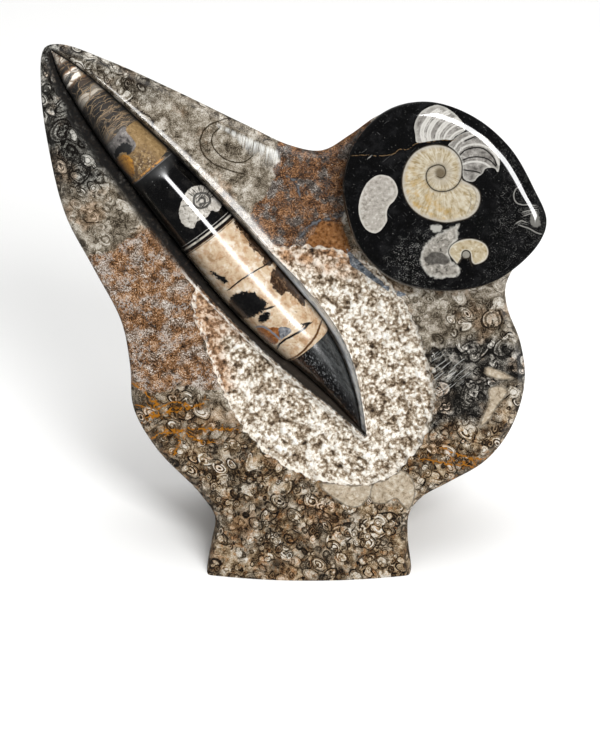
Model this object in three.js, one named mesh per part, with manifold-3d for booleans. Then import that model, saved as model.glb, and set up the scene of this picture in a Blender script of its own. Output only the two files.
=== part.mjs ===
// A free-standing fossil carving of polished limestone. A leaning slab, cut to a winged outline and sawn
// flat underneath, carries a straight-shelled orthoceras in a carved channel and a black goniatite
// cabochon on its shoulder. A shallow pecked hollow surrounds the lower half of the orthoceras.
//
// Millimetres, +Z up. The slab's face looks along -Y and leans back from the foot. The pieces are drawn on
// that face: x runs to the right, y up the face and z out of it, with z = 0 on the polished face.
import * as THREE from "three";
import { mergeVertices } from "three/addons/utils/BufferGeometryUtils.js";
import Module from "manifold-3d";

const wasm = await Module();
wasm.setup();

// ---------------------------------------------------------------- driving dimensions
const leanDegrees = 20; // the face leans back from upright
const clearance = 0.3; // resin joint between neighbouring pieces

const slab = {
  // Counter-clockwise from the right of the foot. The foot runs past the sawn base, which trims it.
  outline: [
    [39, -14], [37.6, 3], [36.1, 16], [36.6, 24.5], [41, 30.6], [51, 36.6], [63.5, 44.6], [72.6, 57],
    [77.2, 74], [75.3, 88.5], [70.4, 101], [69.6, 109], [74.5, 120], [78, 131], [74.5, 144],
    [68.5, 153.5], [60, 162], [48, 169], [35, 171.5], [24, 169.3], [14, 162.6], [4, 157], [-7, 158.7],
    [-22.5, 165.8], [-47.4, 177.8], [-70, 187.9], [-87, 193.6], [-92.4, 192.2], [-94, 178],
    [-91.8, 157], [-86.5, 134], [-77, 115], [-67.6, 96], [-64.8, 80], [-63.8, 64.5], [-55.7, 49.3],
    [-40.5, 32.2], [-35, 22.6], [-36.2, 14], [-38, 4], [-39, -14],
  ],
  hub: [-5, 90], // every ring of the slab's surface is drawn around this point
  segments: 120,
  depthAtFoot: 60, // thickness square to the face, in line with the back of the base
  depthAtTop: 17,
  footHeight: 21.9, // where up the face each of those two depths holds
  topHeight: 197.9,
  sideDraft: Math.tan(THREE.MathUtils.degToRad(7)), // the sides taper towards the back
  edgeRadius: 2.2, // rounding between the face and the sides
  footEdgeRadius: 5.5, // the same rounding beside the foot
  backRadius: 7,
  tipBackRadius: 2.5, // the same rounding out on the wing's thin tip
  bow: 3.2, // the face bulges forward between the corners of the foot
  bowHalfWidth: 37,
  bowHeight: 52, // and is flat again this far up
};

const orthoceras = {
  apex: [-90, 191.5],
  tip: [18.3, 56],
  // Distance down the shell from its apex, then the shell's two edges as seen from the front.
  stations: [0, 8, 18, 34, 54, 80, 103, 120, 136, 148, 158, 167, 173.5],
  leftEdge: [0, -3.2, -5.2, -7.2, -8.3, -9.1, -9.4, -8.2, -5.6, -3.2, -1.6, -0.7, 0],
  rightEdge: [0, 2.7, 4.9, 7.5, 10.4, 12.7, 13.8, 14.3, 14.3, 12.0, 8.3, 4.2, 0],
  crownShare: 1.05, // height of the crown over the channel's floor, as a share of the half width
  bellyShare: 0.4, // depth of the bedded underside, the same way
  shoulder: 137.5, // the shaft ends here in a rounded lip, and the dark point goes on below it
  shoulderStep: 0.9,
  lip: 3.5,
  ribs: 24,
  sections: 24,
};

const channel = {
  stations: [0, 8, 22, 34, 54, 80, 103, 120, 136, 149, 159, 168, 176],
  leftEdge: [-1.6, -4.9, -9.3, -10.9, -12.1, -12.7, -12.8, -11.8, -10, -7.4, -4.8, -2.4, -0.4],
  rightEdge: [1.6, 4.6, 8.9, 11.2, 14.1, 16.6, 17.2, 17.4, 16.9, 14.3, 10.2, 5.4, 0.6],
  depth: [0.8, 2.2, 4, 4.9, 5.4, 5.6, 5.8, 6, 6.1, 6, 5.6, 5, 4.2],
  mouthHeight: 16, // the cutter reaches this far out of the face
  wallSharpness: 4.5, // the left wall is steep
  coveSharpness: 2.3, // the right one is a cove
  sections: 24,
  ribs: 20,
};

const hollow = {
  // Counter-clockwise from the lower right of the pecked patch.
  outline: [
    [27, 37.8], [39.4, 50], [45, 67], [42.2, 81], [36.5, 98], [25.5, 113.5], [9, 122.5], [-13, 123],
    [-30, 117.5], [-42, 106], [-37.2, 86], [-31, 69], [-21, 52.6], [-6, 41.2], [11, 36.1],
  ],
  hub: [2, 80],
  reach: 41, // about the distance from the hub to the rim
  segments: 72,
  rings: 15,
  mouthHeight: 4, // the cutter reaches this far out of the face
  ledge: 1.6, // depth straight below the rim
  scoop: 2.6, // further depth, reached away from the rim
  scoopReach: 7,
  wall: 1.1, // width of the broken wall under the rim
  facet: [18, 104], // towards this point the wall is a wide polished facet instead
  facetWidth: 4.6,
  facetReach: 24,
  peck: 0.8, // half height of the pecked lumps
  peckPitch: 6,
};

const cabochon = {
  // Counter-clockwise from the lowest point.
  outline: [
    [43, 108.7], [60.4, 110.4], [71.3, 116.6], [79.9, 126], [82, 133.5], [77.2, 144.8], [68.9, 158.4],
    [56.3, 169], [41, 174], [27.3, 171.5], [16, 161.6], [11, 148], [12.8, 133.5], [17.9, 121.9],
    [28.9, 112.4],
  ],
  hub: [46, 141],
  segments: 54,
  thickness: 12,
  crown: 0.9, // the polished face is very slightly domed
  rimRadius: 5,
  footRadius: 1.6, // the side tucks in a little where it meets the slab
};

// ---------------------------------------------------------------- shared helpers
const lean = THREE.MathUtils.degToRad(leanDegrees);
const { lerp, smoothstep } = THREE.MathUtils;
const quarter = Math.PI / 2;

// A closed curve through the outline's points, sampled at t = 0 to 1.
function closedCurve(points) {
  const corners = points.map(([x, y]) => new THREE.Vector3(x, y, 0));
  return new THREE.CatmullRomCurve3(corners, true, "centripetal");
}

// A smooth function of the station through the given values, held level past both ends.
function along(stations, values) {
  const spline = new THREE.CubicInterpolant(stations, values, 1);
  const [first, last] = [stations[0], stations.at(-1)];
  return (station) => spline.evaluate(THREE.MathUtils.clamp(station, first, last))[0];
}

function evenSteps(from, to, count) {
  return Array.from({ length: count + 1 }, (_, i) => lerp(from, to, i / count));
}

// A closed surface with a pole at each end. place(turn, ring) gives the point at a share of the way round,
// from 0 to 1, on each ring. The rings rise from the first pole to the last.
function turnedGeometry(segments, ringCount, place) {
  const lastRing = ringCount - 1;
  const profile = evenSteps(0, lastRing, lastRing).map((ring) => {
    const onAxis = ring === 0 || ring === lastRing;
    return new THREE.Vector2(onAxis ? 0 : 1, ring);
  });
  const geometry = new THREE.LatheGeometry(profile, segments);
  const { position, uv } = geometry.attributes;
  for (let i = 0; i < position.count; i++) {
    const ring = Math.round(uv.getY(i) * lastRing);
    position.setXYZ(i, ...place(uv.getX(i) % 1, ring));
  }
  return geometry;
}

// Welds a geometry's corners and drops the slivers that close up at its poles.
function toSolid(geometry) {
  const bare = geometry.clone();
  bare.deleteAttribute("normal");
  bare.deleteAttribute("uv");
  const { attributes, index } = mergeVertices(bare, 1e-4);
  const corners = [];
  for (let i = 0; i < index.count; i += 3) {
    const [a, b, c] = [index.getX(i), index.getX(i + 1), index.getX(i + 2)];
    if (a !== b && b !== c && c !== a) corners.push(a, b, c);
  }
  const vertProperties = attributes.position.array;
  return new wasm.Manifold(
    new wasm.Mesh({ numProp: 3, vertProperties, triVerts: new Uint32Array(corners) }),
  );
}

function toGeometry(solid) {
  const mesh = solid.getMesh();
  const geometry = new THREE.BufferGeometry();
  geometry.setAttribute("position", new THREE.BufferAttribute(mesh.vertProperties, 3));
  geometry.setIndex(new THREE.BufferAttribute(mesh.triVerts, 1));
  geometry.computeVertexNormals();
  return geometry;
}

// Repeatable noise from 0 to 1 that varies smoothly over a pitch of one unit.
function noise(x, y) {
  const corner = (i, j) => {
    const wave = Math.sin(i * 127.1 + j * 311.7) * 43758.5453;
    return wave - Math.floor(wave);
  };
  const [i, j] = [Math.floor(x), Math.floor(y)];
  const [u, v] = [smoothstep(x - i, 0, 1), smoothstep(y - j, 0, 1)];
  return lerp(lerp(corner(i, j), corner(i + 1, j), u), lerp(corner(i, j + 1), corner(i + 1, j + 1), u), v);
}

// The way from the hub to an outline at a share of the way round: its direction, its length, and how
// squarely it meets the outline there.
function spoke(curve, hub, turn) {
  const rim = curve.getPointAt(turn);
  const tangent = curve.getTangentAt(turn);
  const arm = new THREE.Vector2(rim.x - hub[0], rim.y - hub[1]);
  const reach = arm.length();
  arm.divideScalar(reach);
  const squareness = Math.max(0.45, arm.x * tangent.y - arm.y * tangent.x);
  const at = (distance) => [hub[0] + arm.x * distance, hub[1] + arm.y * distance];
  return { rim, reach, squareness, at };
}

// ---------------------------------------------------------------- the slab
function slabDepth(height) {
  const share = (height - slab.footHeight) / (slab.topHeight - slab.footHeight);
  return lerp(slab.depthAtFoot, slab.depthAtTop, share);
}

function faceBow(x, height) {
  return -slab.bow * (x / slab.bowHalfWidth) ** 2 * (1 - smoothstep(height, 0, slab.bowHeight));
}

// Rings from the middle of the back, over its rounded edge, up the side and over the front edge on to the
// middle of the face.
function slabGeometry() {
  const curve = closedCurve(slab.outline);
  const rings = [
    ...[0, 0.6].map((share) => ({ zone: "back", share, step: 0 })),
    ...[0, 1 / 3, 2 / 3, 1].map((step) => ({ zone: "back", share: 1, step })),
    ...[1 / 3, 2 / 3].map((step) => ({ zone: "side", share: 1, step })),
    ...[0, 1 / 3, 2 / 3, 1].map((step) => ({ zone: "face", share: 1, step })),
    ...[0.92, 0.8, 0.62, 0.4, 0].map((share) => ({ zone: "face", share, step: 1 })),
  ];
  return turnedGeometry(slab.segments, rings.length, (turn, index) => {
    const { zone, share, step } = rings[index];
    const { rim, reach, squareness, at } = spoke(curve, slab.hub, turn);
    const inwards = (inset) => at(share * (reach - inset / squareness));
    const edge = lerp(slab.footEdgeRadius, slab.edgeRadius, smoothstep(rim.y, 10, 45));
    const backEdge = lerp(slab.backRadius, slab.tipBackRadius, smoothstep(rim.y, 110, 185));
    if (zone === "face") {
      const [x, y] = inwards(edge * (1 - Math.cos(step * quarter)));
      return [x, y, faceBow(x, y) - edge * (1 - Math.sin(step * quarter))];
    }
    const wallFoot = slabDepth(rim.y) - backEdge;
    if (zone === "side") {
      const depth = lerp(wallFoot, edge - faceBow(rim.x, rim.y), step);
      return [...inwards(slab.sideDraft * depth), -depth];
    }
    const [x, y] = inwards(slab.sideDraft * wallFoot + backEdge * (1 - Math.sin(step * quarter)));
    return [x, y, backEdge * (1 - Math.cos(step * quarter)) - slabDepth(y)];
  });
}

// ---------------------------------------------------------------- the orthoceras and its channel
const apex = new THREE.Vector2(...orthoceras.apex);
const downShell = new THREE.Vector2(...orthoceras.tip).sub(apex);
const shellLength = downShell.length();
downShell.divideScalar(shellLength);
const acrossShell = new THREE.Vector2(-downShell.y, downShell.x);

const shellLeft = along(orthoceras.stations, orthoceras.leftEdge);
const shellRight = along(orthoceras.stations, orthoceras.rightEdge);
const channelLeft = along(channel.stations, channel.leftEdge);
const channelRight = along(channel.stations, channel.rightEdge);
const channelDepth = along(channel.stations, channel.depth);

// From a station and an offset to its right, to a point on the face.
function onFace(station, offset) {
  const point = apex.clone().addScaledVector(downShell, station).addScaledVector(acrossShell, offset);
  return [point.x, point.y];
}

// How far the shell's skin draws in at the lip, and on down the point.
function shoulderInset(station) {
  const { shoulder, shoulderStep, lip } = orthoceras;
  if (station > shoulder) return (shoulderStep * (shellLength - station)) / (shellLength - shoulder);
  const intoLip = Math.max(0, 1 - (shoulder - station) / lip);
  return shoulderStep * (1 - Math.sqrt(1 - intoLip ** 2));
}

// Rings for a solid that follows the shell's axis, closed at both ends.
function axisRings(stations) {
  return [
    { station: stations[0], swell: 0 },
    ...stations.map((station) => ({ station, swell: 1 })),
    { station: stations.at(-1), swell: 0 },
  ];
}

// The shell, or its bed when it is grown by a margin. It is widest at the level of the channel's floor.
function shellGeometry(stations, margin = 0) {
  const rings = axisRings(stations);
  return turnedGeometry(orthoceras.ribs, rings.length, (turn, index) => {
    const { station, swell } = rings[index];
    const angle = turn * 2 * Math.PI;
    const halfWidth = (shellRight(station) - shellLeft(station)) / 2 - shoulderInset(station);
    const middle = (shellRight(station) + shellLeft(station)) / 2;
    const share = Math.sin(angle) > 0 ? orthoceras.crownShare : orthoceras.bellyShare;
    const offset = middle + Math.cos(angle) * (halfWidth + margin) * swell;
    const rise = Math.sin(angle) * (halfWidth * share + margin) * swell;
    return [...onFace(station, offset), rise - channelDepth(station)];
  });
}

// Stations down the whole shell, with closer ones around the lip.
function shellStations() {
  const { sections, shoulder, lip } = orthoceras;
  const aroundLip = [shoulder - lip, shoulder - lip / 2, shoulder - lip / 6, shoulder];
  const apart = (station) => station < aroundLip[0] - 2 || station > shoulder + 2;
  return [...evenSteps(0, shellLength, sections).filter(apart), ...aroundLip].sort((a, b) => a - b);
}

// The tool that carves the channel: steep on its left, a cove on its right, open above the face.
function channelCutter() {
  const rings = axisRings(evenSteps(0, channel.stations.at(-1), channel.sections));
  return turnedGeometry(channel.ribs, rings.length, (turn, index) => {
    const { station, swell } = rings[index];
    const angle = turn * 2 * Math.PI;
    const [cos, sin] = [Math.cos(angle), Math.sin(angle)];
    const [left, right] = [channelLeft(station), channelRight(station)];
    const middle = (left + right) / 2;
    const halfWidth = ((right - left) / 2) * swell;
    if (sin >= 0) return [...onFace(station, middle + halfWidth * cos), channel.mouthHeight * sin * swell];
    const power = 2 / (cos < 0 ? channel.wallSharpness : channel.coveSharpness);
    const offset = middle + halfWidth * Math.sign(cos) * Math.abs(cos) ** power;
    return [...onFace(station, offset), -channelDepth(station) * swell * Math.abs(sin) ** power];
  });
}

// ---------------------------------------------------------------- the pecked hollow
function hollowFloor(x, y, fromRim) {
  const scoop = hollow.scoop * (1 - Math.exp(-fromRim / hollow.scoopReach));
  const lumps = noise(x / hollow.peckPitch, y / hollow.peckPitch) * 2 - 1;
  return -hollow.ledge - scoop + hollow.peck * lumps;
}

// The tool that leaves the hollow: a bumpy floor, a narrow broken wall and an open top.
function hollowCutter() {
  const curve = closedCurve(hollow.outline);
  const ringCount = hollow.rings + 4;
  return turnedGeometry(hollow.segments, ringCount, (turn, ring) => {
    const { rim, reach, at } = spoke(curve, hollow.hub, turn);
    if (ring > hollow.rings) {
      const share = ring === ringCount - 1 ? 0 : 1;
      return [...at(share * reach), ring === hollow.rings + 1 ? 0 : hollow.mouthHeight];
    }
    const fromFacet = Math.hypot(rim.x - hollow.facet[0], rim.y - hollow.facet[1]);
    const wall = lerp(hollow.facetWidth, hollow.wall, smoothstep(fromFacet, 0, hollow.facetReach));
    const share = ring / hollow.rings;
    const [x, y] = at(share * (reach - wall));
    return [x, y, hollowFloor(x, y, (1 - share) * hollow.reach)];
  });
}

// ---------------------------------------------------------------- the cabochon
function cabochonGeometry() {
  const curve = closedCurve(cabochon.outline);
  const { thickness, crown, rimRadius, footRadius } = cabochon;
  const rings = [
    { share: 0, inset: footRadius, height: clearance },
    { share: 1, inset: footRadius, height: clearance },
    { share: 1, inset: footRadius * 0.3, height: clearance + footRadius * 0.7 },
    ...[0, 0.2, 0.4, 0.6, 0.8, 1].map((step) => ({
      share: 1,
      inset: rimRadius * (1 - Math.cos(step * quarter)),
      height: thickness - rimRadius * (1 - Math.sin(step * quarter)),
    })),
    ...[0.75, 0.45, 0].map((share) => ({
      share,
      inset: rimRadius,
      height: thickness + crown * (1 - share ** 2),
    })),
  ];
  return turnedGeometry(cabochon.segments, rings.length, (turn, index) => {
    const { share, inset, height } = rings[index];
    const { reach, at } = spoke(curve, cabochon.hub, turn);
    return [...at(share * (reach - inset)), height];
  });
}

// ---------------------------------------------------------------- assembly
const stoneFace = new THREE.Group();
stoneFace.rotation.x = quarter - lean; // from face coordinates to upright ones
stoneFace.updateMatrixWorld();

// Everything under the foot's sawn plane, in face coordinates.
function underBase() {
  const block = new THREE.BoxGeometry(400, 400, 100).translate(0, 0, -50);
  return block.applyMatrix4(stoneFace.matrixWorld.clone().invert());
}

function matrixGeometry() {
  const bedStations = [-clearance, ...shellStations(), shellLength + clearance];
  const bed = shellGeometry(bedStations, clearance);
  const cutters = [underBase(), hollowCutter(), channelCutter(), bed];
  const carved = cutters.reduce((stone, cutter) => stone.subtract(toSolid(cutter)), toSolid(slabGeometry()));
  return toGeometry(carved);
}

function addPiece(name, geometry, color, roughness) {
  const material = new THREE.MeshStandardMaterial({ color, roughness, metalness: 0 });
  const mesh = new THREE.Mesh(geometry, material);
  mesh.name = name;
  stoneFace.add(mesh);
}

addPiece("limestone_matrix", matrixGeometry(), 0x7d7263, 0.35);
addPiece("orthoceras", shellGeometry(shellStations()), 0xb39a7c, 0.15);
addPiece("goniatite_cabochon", cabochonGeometry(), 0x111214, 0.1);

// The origin is the middle of the whole carving's box, on the surface it stands on.
const carving = new THREE.Group();
carving.add(stoneFace);
const box = new THREE.Box3().setFromObject(carving, true);
const middle = box.getCenter(new THREE.Vector3());
carving.position.set(-middle.x, -middle.y, -box.min.z);

export default carving;
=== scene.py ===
import bmesh
import bpy
import math
import numpy as np
from mathutils import Matrix, Vector, noise


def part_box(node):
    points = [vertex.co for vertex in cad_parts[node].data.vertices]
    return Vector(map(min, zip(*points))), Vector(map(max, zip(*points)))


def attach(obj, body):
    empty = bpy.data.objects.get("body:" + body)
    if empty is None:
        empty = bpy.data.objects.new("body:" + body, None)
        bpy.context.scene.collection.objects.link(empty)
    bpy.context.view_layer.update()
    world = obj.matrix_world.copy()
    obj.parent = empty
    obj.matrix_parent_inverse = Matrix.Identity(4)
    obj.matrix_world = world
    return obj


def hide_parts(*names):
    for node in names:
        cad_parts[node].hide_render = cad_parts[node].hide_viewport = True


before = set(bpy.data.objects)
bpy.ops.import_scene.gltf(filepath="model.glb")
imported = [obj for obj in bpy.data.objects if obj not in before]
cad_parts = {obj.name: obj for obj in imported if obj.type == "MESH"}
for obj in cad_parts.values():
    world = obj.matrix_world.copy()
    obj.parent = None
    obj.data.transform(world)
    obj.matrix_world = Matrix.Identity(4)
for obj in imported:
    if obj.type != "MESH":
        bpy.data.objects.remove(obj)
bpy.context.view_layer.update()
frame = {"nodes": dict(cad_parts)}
bpy.ops.object.select_all(action="DESELECT")
print("frame loaded:", ", ".join(frame["nodes"]))

# The pieces are drawn in mm on the leaning face: x to the right, y up the face, z out of it.
placing = {
    "leanDegrees": 20,
    "millimetre": 0.001,  # in metres
    "wingReach": 94.018,  # from the middle of the foot to the left end of the slab
}
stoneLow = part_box("limestone_matrix")[0]
faceOrigin = Vector((stoneLow.x + placing["wingReach"] * placing["millimetre"], stoneLow.y, 0))
faceTurn = math.radians(90 - placing["leanDegrees"])
faceToWorld = (
    Matrix.Translation(faceOrigin)
    @ Matrix.Rotation(faceTurn, 4, "X")
    @ Matrix.Scale(placing["millimetre"], 4)
)

cameraSetup = {
    "place": (0.00232, -0.5653, 0.408),
    "tiltDegrees": 58.6,
    "lens": 86.28,
    "sensorHeight": 36,
    "nearest": 0.01,
}


def addCamera():
    bpy.ops.object.camera_add(location=cameraSetup["place"])
    camera = bpy.context.object
    camera.rotation_euler = (math.radians(cameraSetup["tiltDegrees"]), 0, 0)
    camera.data.sensor_fit = "VERTICAL"
    camera.data.sensor_height = cameraSetup["sensorHeight"]
    camera.data.lens = cameraSetup["lens"]
    camera.data.clip_start = cameraSetup["nearest"]
    bpy.context.scene.camera = camera


addCamera()
print("camera placed")


# Rises smoothly from 0 at the low value to 1 at the high one.
def smoothstep(value, low, high):
    share = np.clip((np.asarray(value, float) - low) / (high - low), 0, 1)
    return share * share * (3 - 2 * share)


def lerp(start, end, share):
    return start + (end - start) * share


# A smooth function through the given values, with each slope the mean of its neighbours'.
def along(stations, values):
    stations = np.array(stations, float)
    values = np.array(values, float)
    secants = np.diff(values) / np.diff(stations)
    slopes = np.concatenate([secants[:1], (secants[1:] + secants[:-1]) / 2, secants[-1:]])

    def evaluate(station):
        station = np.clip(np.asarray(station, float), stations[0], stations[-1])
        i = np.clip(np.searchsorted(stations, station, side="right") - 1, 0, len(stations) - 2)
        step = stations[i + 1] - stations[i]
        t = (station - stations[i]) / step
        rise = values[i + 1] - values[i]
        bend = (1 - t) * (slopes[i] * step - rise) - t * (slopes[i + 1] * step - rise)
        return values[i] + t * rise + t * (1 - t) * bend

    return evaluate


# Points at even steps, or closer together where the crowd function is above 1.
def evenLength(points, count, closed, crowd=None):
    ends = np.roll(points, -1, 0) if closed else points[1:]
    lengths = np.linalg.norm(ends - points[: len(ends)], axis=1)
    if crowd:
        lengths = lengths * crowd(points[: len(ends)])
    reached = np.concatenate([[0], np.cumsum(lengths)])
    path = np.concatenate([points, points[:1]]) if closed else points
    wanted = np.linspace(0, reached[-1], count, endpoint=not closed)
    return np.stack([np.interp(wanted, reached, path[:, axis]) for axis in (0, 1)], 1)


# Points at even steps round a closed curve through the corners.
def closedCurve(corners, count, crowd=None, stepsBetween=40):
    here = np.array(corners, float)
    before, after, beyond = (np.roll(here, shift, 0) for shift in (1, -1, -2))
    pairs = ((before, here), (here, after), (after, beyond))
    gap = [np.linalg.norm(end - start, axis=1)[:, None] ** 0.5 for start, end in pairs]
    leave = (here - before) / gap[0] - (after - before) / (gap[0] + gap[1]) + (after - here) / gap[1]
    arrive = (after - here) / gap[1] - (beyond - here) / (gap[1] + gap[2]) + (beyond - after) / gap[2]
    leave, arrive = leave * gap[1], arrive * gap[1]
    dense = []
    for t in np.linspace(0, 1, stepsBetween, endpoint=False):
        dense.append(
            here * (2 * t**3 - 3 * t**2 + 1) + after * (3 * t**2 - 2 * t**3)
            + leave * (t**3 - 2 * t**2 + t) + arrive * (t**3 - t**2)
        )
    return evenLength(np.stack(dense, 1).reshape(-1, 2), count, True, crowd)


# Points at even steps along an open curve through the points.
def openCurve(points, count):
    points = np.array(points, float)
    reached = np.concatenate([[0], np.cumsum(np.linalg.norm(np.diff(points, axis=0), axis=1))])
    wanted = np.linspace(0, reached[-1], count)
    return np.stack([along(reached, points[:, axis])(wanted) for axis in (0, 1)], 1)


tiny = 1e-12  # stands in for a length of 0 that would be divided by


# Distance from each point to a chain of segments, and which side of the nearest one it is on.
def chainDistance(points, starts, ends):
    nearest = np.full(len(points), np.inf)
    side = np.ones(len(points))
    for start, end in zip(starts, ends):
        arm = end - start
        away = points - start
        share = np.clip(away @ arm / max(arm @ arm, tiny), 0, 1)
        distance = np.hypot(away[:, 0] - share * arm[0], away[:, 1] - share * arm[1])
        closer = distance < nearest
        nearest[closer] = distance[closer]
        side[closer] = np.sign(arm[0] * away[closer, 1] - arm[1] * away[closer, 0])
    return nearest, side


# How deep each point lies inside a smooth outline, in mm. It is negative outside.
def depthInside(points, corners, count=72, smooth=True):
    outline = closedCurve(corners, count) if smooth else np.array(corners, float)
    ends = np.roll(outline, -1, 0)
    nearest, _ = chainDistance(points, outline, ends)
    inside = np.zeros(len(points), bool)
    for (ax, ay), (bx, by) in zip(outline, ends):
        crosses = (ay > points[:, 1]) != (by > points[:, 1])
        rise = by - ay if by != ay else tiny
        inside ^= crosses & (points[:, 0] < ax + (points[:, 1] - ay) * (bx - ax) / rise)
    return np.where(inside, nearest, -nearest)


# Distance to the nearest of several open lines, and the same with a sign for its side.
def traceDistance(points, lines, steps=12):
    starts, ends = [], []
    for line in lines:
        path = openCurve(line, steps * (len(line) - 1) + 1) if len(line) > 2 else np.array(line, float)
        starts.extend(path[:-1])
        ends.extend(path[1:])
    nearest, side = chainDistance(points, starts, ends)
    return nearest, nearest * side


def selectOnly(piece):
    if bpy.context.object and bpy.context.object.mode != "OBJECT":
        bpy.ops.object.mode_set(mode="OBJECT")
    bpy.ops.object.select_all(action="DESELECT")
    piece.select_set(True)
    bpy.context.view_layer.objects.active = piece


# Starts from a circle and extrudes it ring by ring. place(turns, ring) gives the points of a ring.
# The first and last rings each close up in one point.
def loft(name, segments, rings, place, mergeWithin=0.0005):
    bpy.ops.object.select_all(action="DESELECT")
    bpy.ops.mesh.primitive_circle_add(vertices=segments, radius=1, fill_type="NOTHING")
    piece = bpy.context.object
    piece.name = piece.data.name = name
    bpy.ops.object.mode_set(mode="EDIT")
    bpy.ops.mesh.select_all(action="SELECT")
    shape = bmesh.from_edit_mesh(piece.data)
    turnLayer = shape.verts.layers.int.new("turn")
    for turn, corner in enumerate(shape.verts):
        corner[turnLayer] = turn
    for count, ring in enumerate(rings):
        if count:
            bpy.ops.mesh.extrude_edges_move()
        shape = bmesh.from_edit_mesh(piece.data)
        turnLayer = shape.verts.layers.int["turn"]
        corners = [corner for corner in shape.verts if corner.select]
        turns = np.array([corner[turnLayer] for corner in corners])
        for corner, point in zip(corners, place(turns, ring)):
            corner.co = point
    bmesh.update_edit_mesh(piece.data)
    bpy.ops.mesh.select_all(action="SELECT")
    bpy.ops.mesh.remove_doubles(threshold=mergeWithin)
    bpy.ops.mesh.select_all(action="SELECT")
    bpy.ops.mesh.normals_make_consistent(inside=False)
    bpy.ops.object.mode_set(mode="OBJECT")
    piece.data.attributes.remove(piece.data.attributes["turn"])
    return piece


# Takes the cutter away from the piece, and deletes the cutter.
def carve(piece, cutter):
    selectOnly(piece)
    cut = piece.modifiers.new("cut", "BOOLEAN")
    cut.operation = "DIFFERENCE"
    cut.solver = "MANIFOLD"
    cut.object = cutter
    bpy.ops.object.modifier_apply(modifier=cut.name)
    bpy.data.objects.remove(cutter, do_unlink=True)


# The points of a piece that is in its place, in face coordinates.
def facePoints(piece):
    points = np.zeros(len(piece.data.vertices) * 3, np.float32)
    piece.data.vertices.foreach_get("co", points)
    points = points.reshape(-1, 3).astype(float)
    back = np.array(faceToWorld.inverted())
    return points @ back[:3, :3].T + back[:3, 3]


def storeField(piece, name, values):
    field = piece.data.attributes.new(name, "FLOAT", "POINT")
    field.data.foreach_set("value", np.ascontiguousarray(values, np.float32))


# Sets a piece drawn in face coordinates in its place, with the place in its mesh.
def setInPlace(piece, smoothDegrees):
    piece.matrix_world = faceToWorld
    selectOnly(piece)
    bpy.ops.object.transform_apply(location=True, rotation=True, scale=True)
    bpy.ops.object.shade_smooth_by_angle(angle=math.radians(smoothDegrees))


# The piece rides on the root and stands for one node of the frame.
def standFor(piece, node, material):
    piece.data.materials.clear()
    piece.data.materials.append(material)
    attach(piece, "root")
    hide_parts(node)


# Directions and lengths of the spokes from the hub to the curve, and how squarely they meet it.
def spokes(curve, hub, leastSquareness=0.45):
    arms = curve - np.array(hub)
    reach = np.linalg.norm(arms, axis=1)
    arms = arms / reach[:, None]
    tangent = np.roll(curve, -1, 0) - np.roll(curve, 1, 0)
    tangent = tangent / np.linalg.norm(tangent, axis=1)[:, None]
    squareness = arms[:, 0] * tangent[:, 1] - arms[:, 1] * tangent[:, 0]
    return arms, reach, np.maximum(leastSquareness, squareness)


def column(count, value):
    return np.full(count, float(value))


# The orthoceras and its channel. Edges and depths are given at stations down the shell from its apex.
shell = {
    "apex": (-90, 191.5),
    "tip": (18.3, 56),
    "stations": [0, 8, 18, 34, 54, 80, 103, 120, 136, 148, 158, 167, 173.5],
    "leftEdge": [0, -3.2, -5.2, -7.2, -8.3, -9.1, -9.4, -8.2, -5.6, -3.2, -1.6, -0.7, 0],
    "rightEdge": [0, 2.7, 4.9, 7.5, 10.4, 12.7, 13.8, 14.3, 14.3, 12.0, 8.3, 4.2, 0],
    "crownShare": 1.05,
    "bellyShare": 0.4,
    "shoulder": 137.5,  # the shaft ends here in a rounded lip
    "shoulderStep": 0.9,
    "lip": 3.5,
    "lipSteps": (1, 0.75, 0.5, 0.3, 0.17, 0.08, 0.03, 0.008, 0),  # where the sections of the lip stand
    "lipMargin": 0.3,  # no even step stands this close to the lip
    "endGap": 0.02,  # from the ends of the shell to the first and last sections
    "ribs": 120,
    "sections": 300,
    "ease": 0.02,  # keeps the finer skin inside the plain solid's
    "smoothDegrees": 50,
}

channel = {
    "stations": [0, 8, 22, 34, 54, 80, 103, 120, 136, 149, 159, 168, 176],
    "leftEdge": [-1.6, -4.9, -8.8, -10.4, -11.8, -12.4, -12, -10.4, -8.1, -5.6, -3.4, -1.7, -0.3],
    "rightEdge": [1.2, 3.8, 6.9, 8.9, 11.8, 14.2, 15.6, 17, 16.9, 14.3, 10.2, 5.4, 0.6],
    "depth": [0.8, 2.2, 4, 4.9, 5.4, 5.6, 5.8, 6, 6.1, 6, 5.6, 5, 4.2],
    "mouthHeight": 16,
    "wallSharpness": 4.5,
    "coveSharpness": 2.3,
    "sections": 150,
    "ribs": 72,
    "bedSections": 180,
    "bedRibs": 96,
    "roll": 0.9,  # rounding of the rim
    "clearance": 0.3,  # resin joint between the shell and its bed
    # A low crest runs along the right rim. It falls away in a flat band and then a curve.
    "crestStations": [0, 14, 24, 40, 70, 92, 104, 114, 124, 140, 176],
    "crestBand": [0, 0.3, 0.6, 1, 1.7, 2.3, 1.6, 0.2, 0, 0, 0],
    "crestWidth": [0.4, 0.7, 1.1, 1.6, 2.1, 2.2, 1.6, 0.8, 0.5, 0.5, 0.4],
    "crestSteepness": 0.335,
    "crestStart": (4, 18),  # stations over which the crest rises and fades
    "crestEnd": (160, 176),
    # painted shadow of the shell on the left: how far it spreads beyond the rim and where it is full, high
    # up and low down
    "shadowStations": (78, 108),
    "shadowSpread": (2.3, 0.5),
    "shadowFull": (-0.5, 0),
    "darkJointReach": (1.1, 0.1),  # the dark joint with painted contact shade on the right, by the distance from the shell
    "wallMark": (0.1, -0.5),  # where the right wall begins, by the distance from the channel
}

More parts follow.
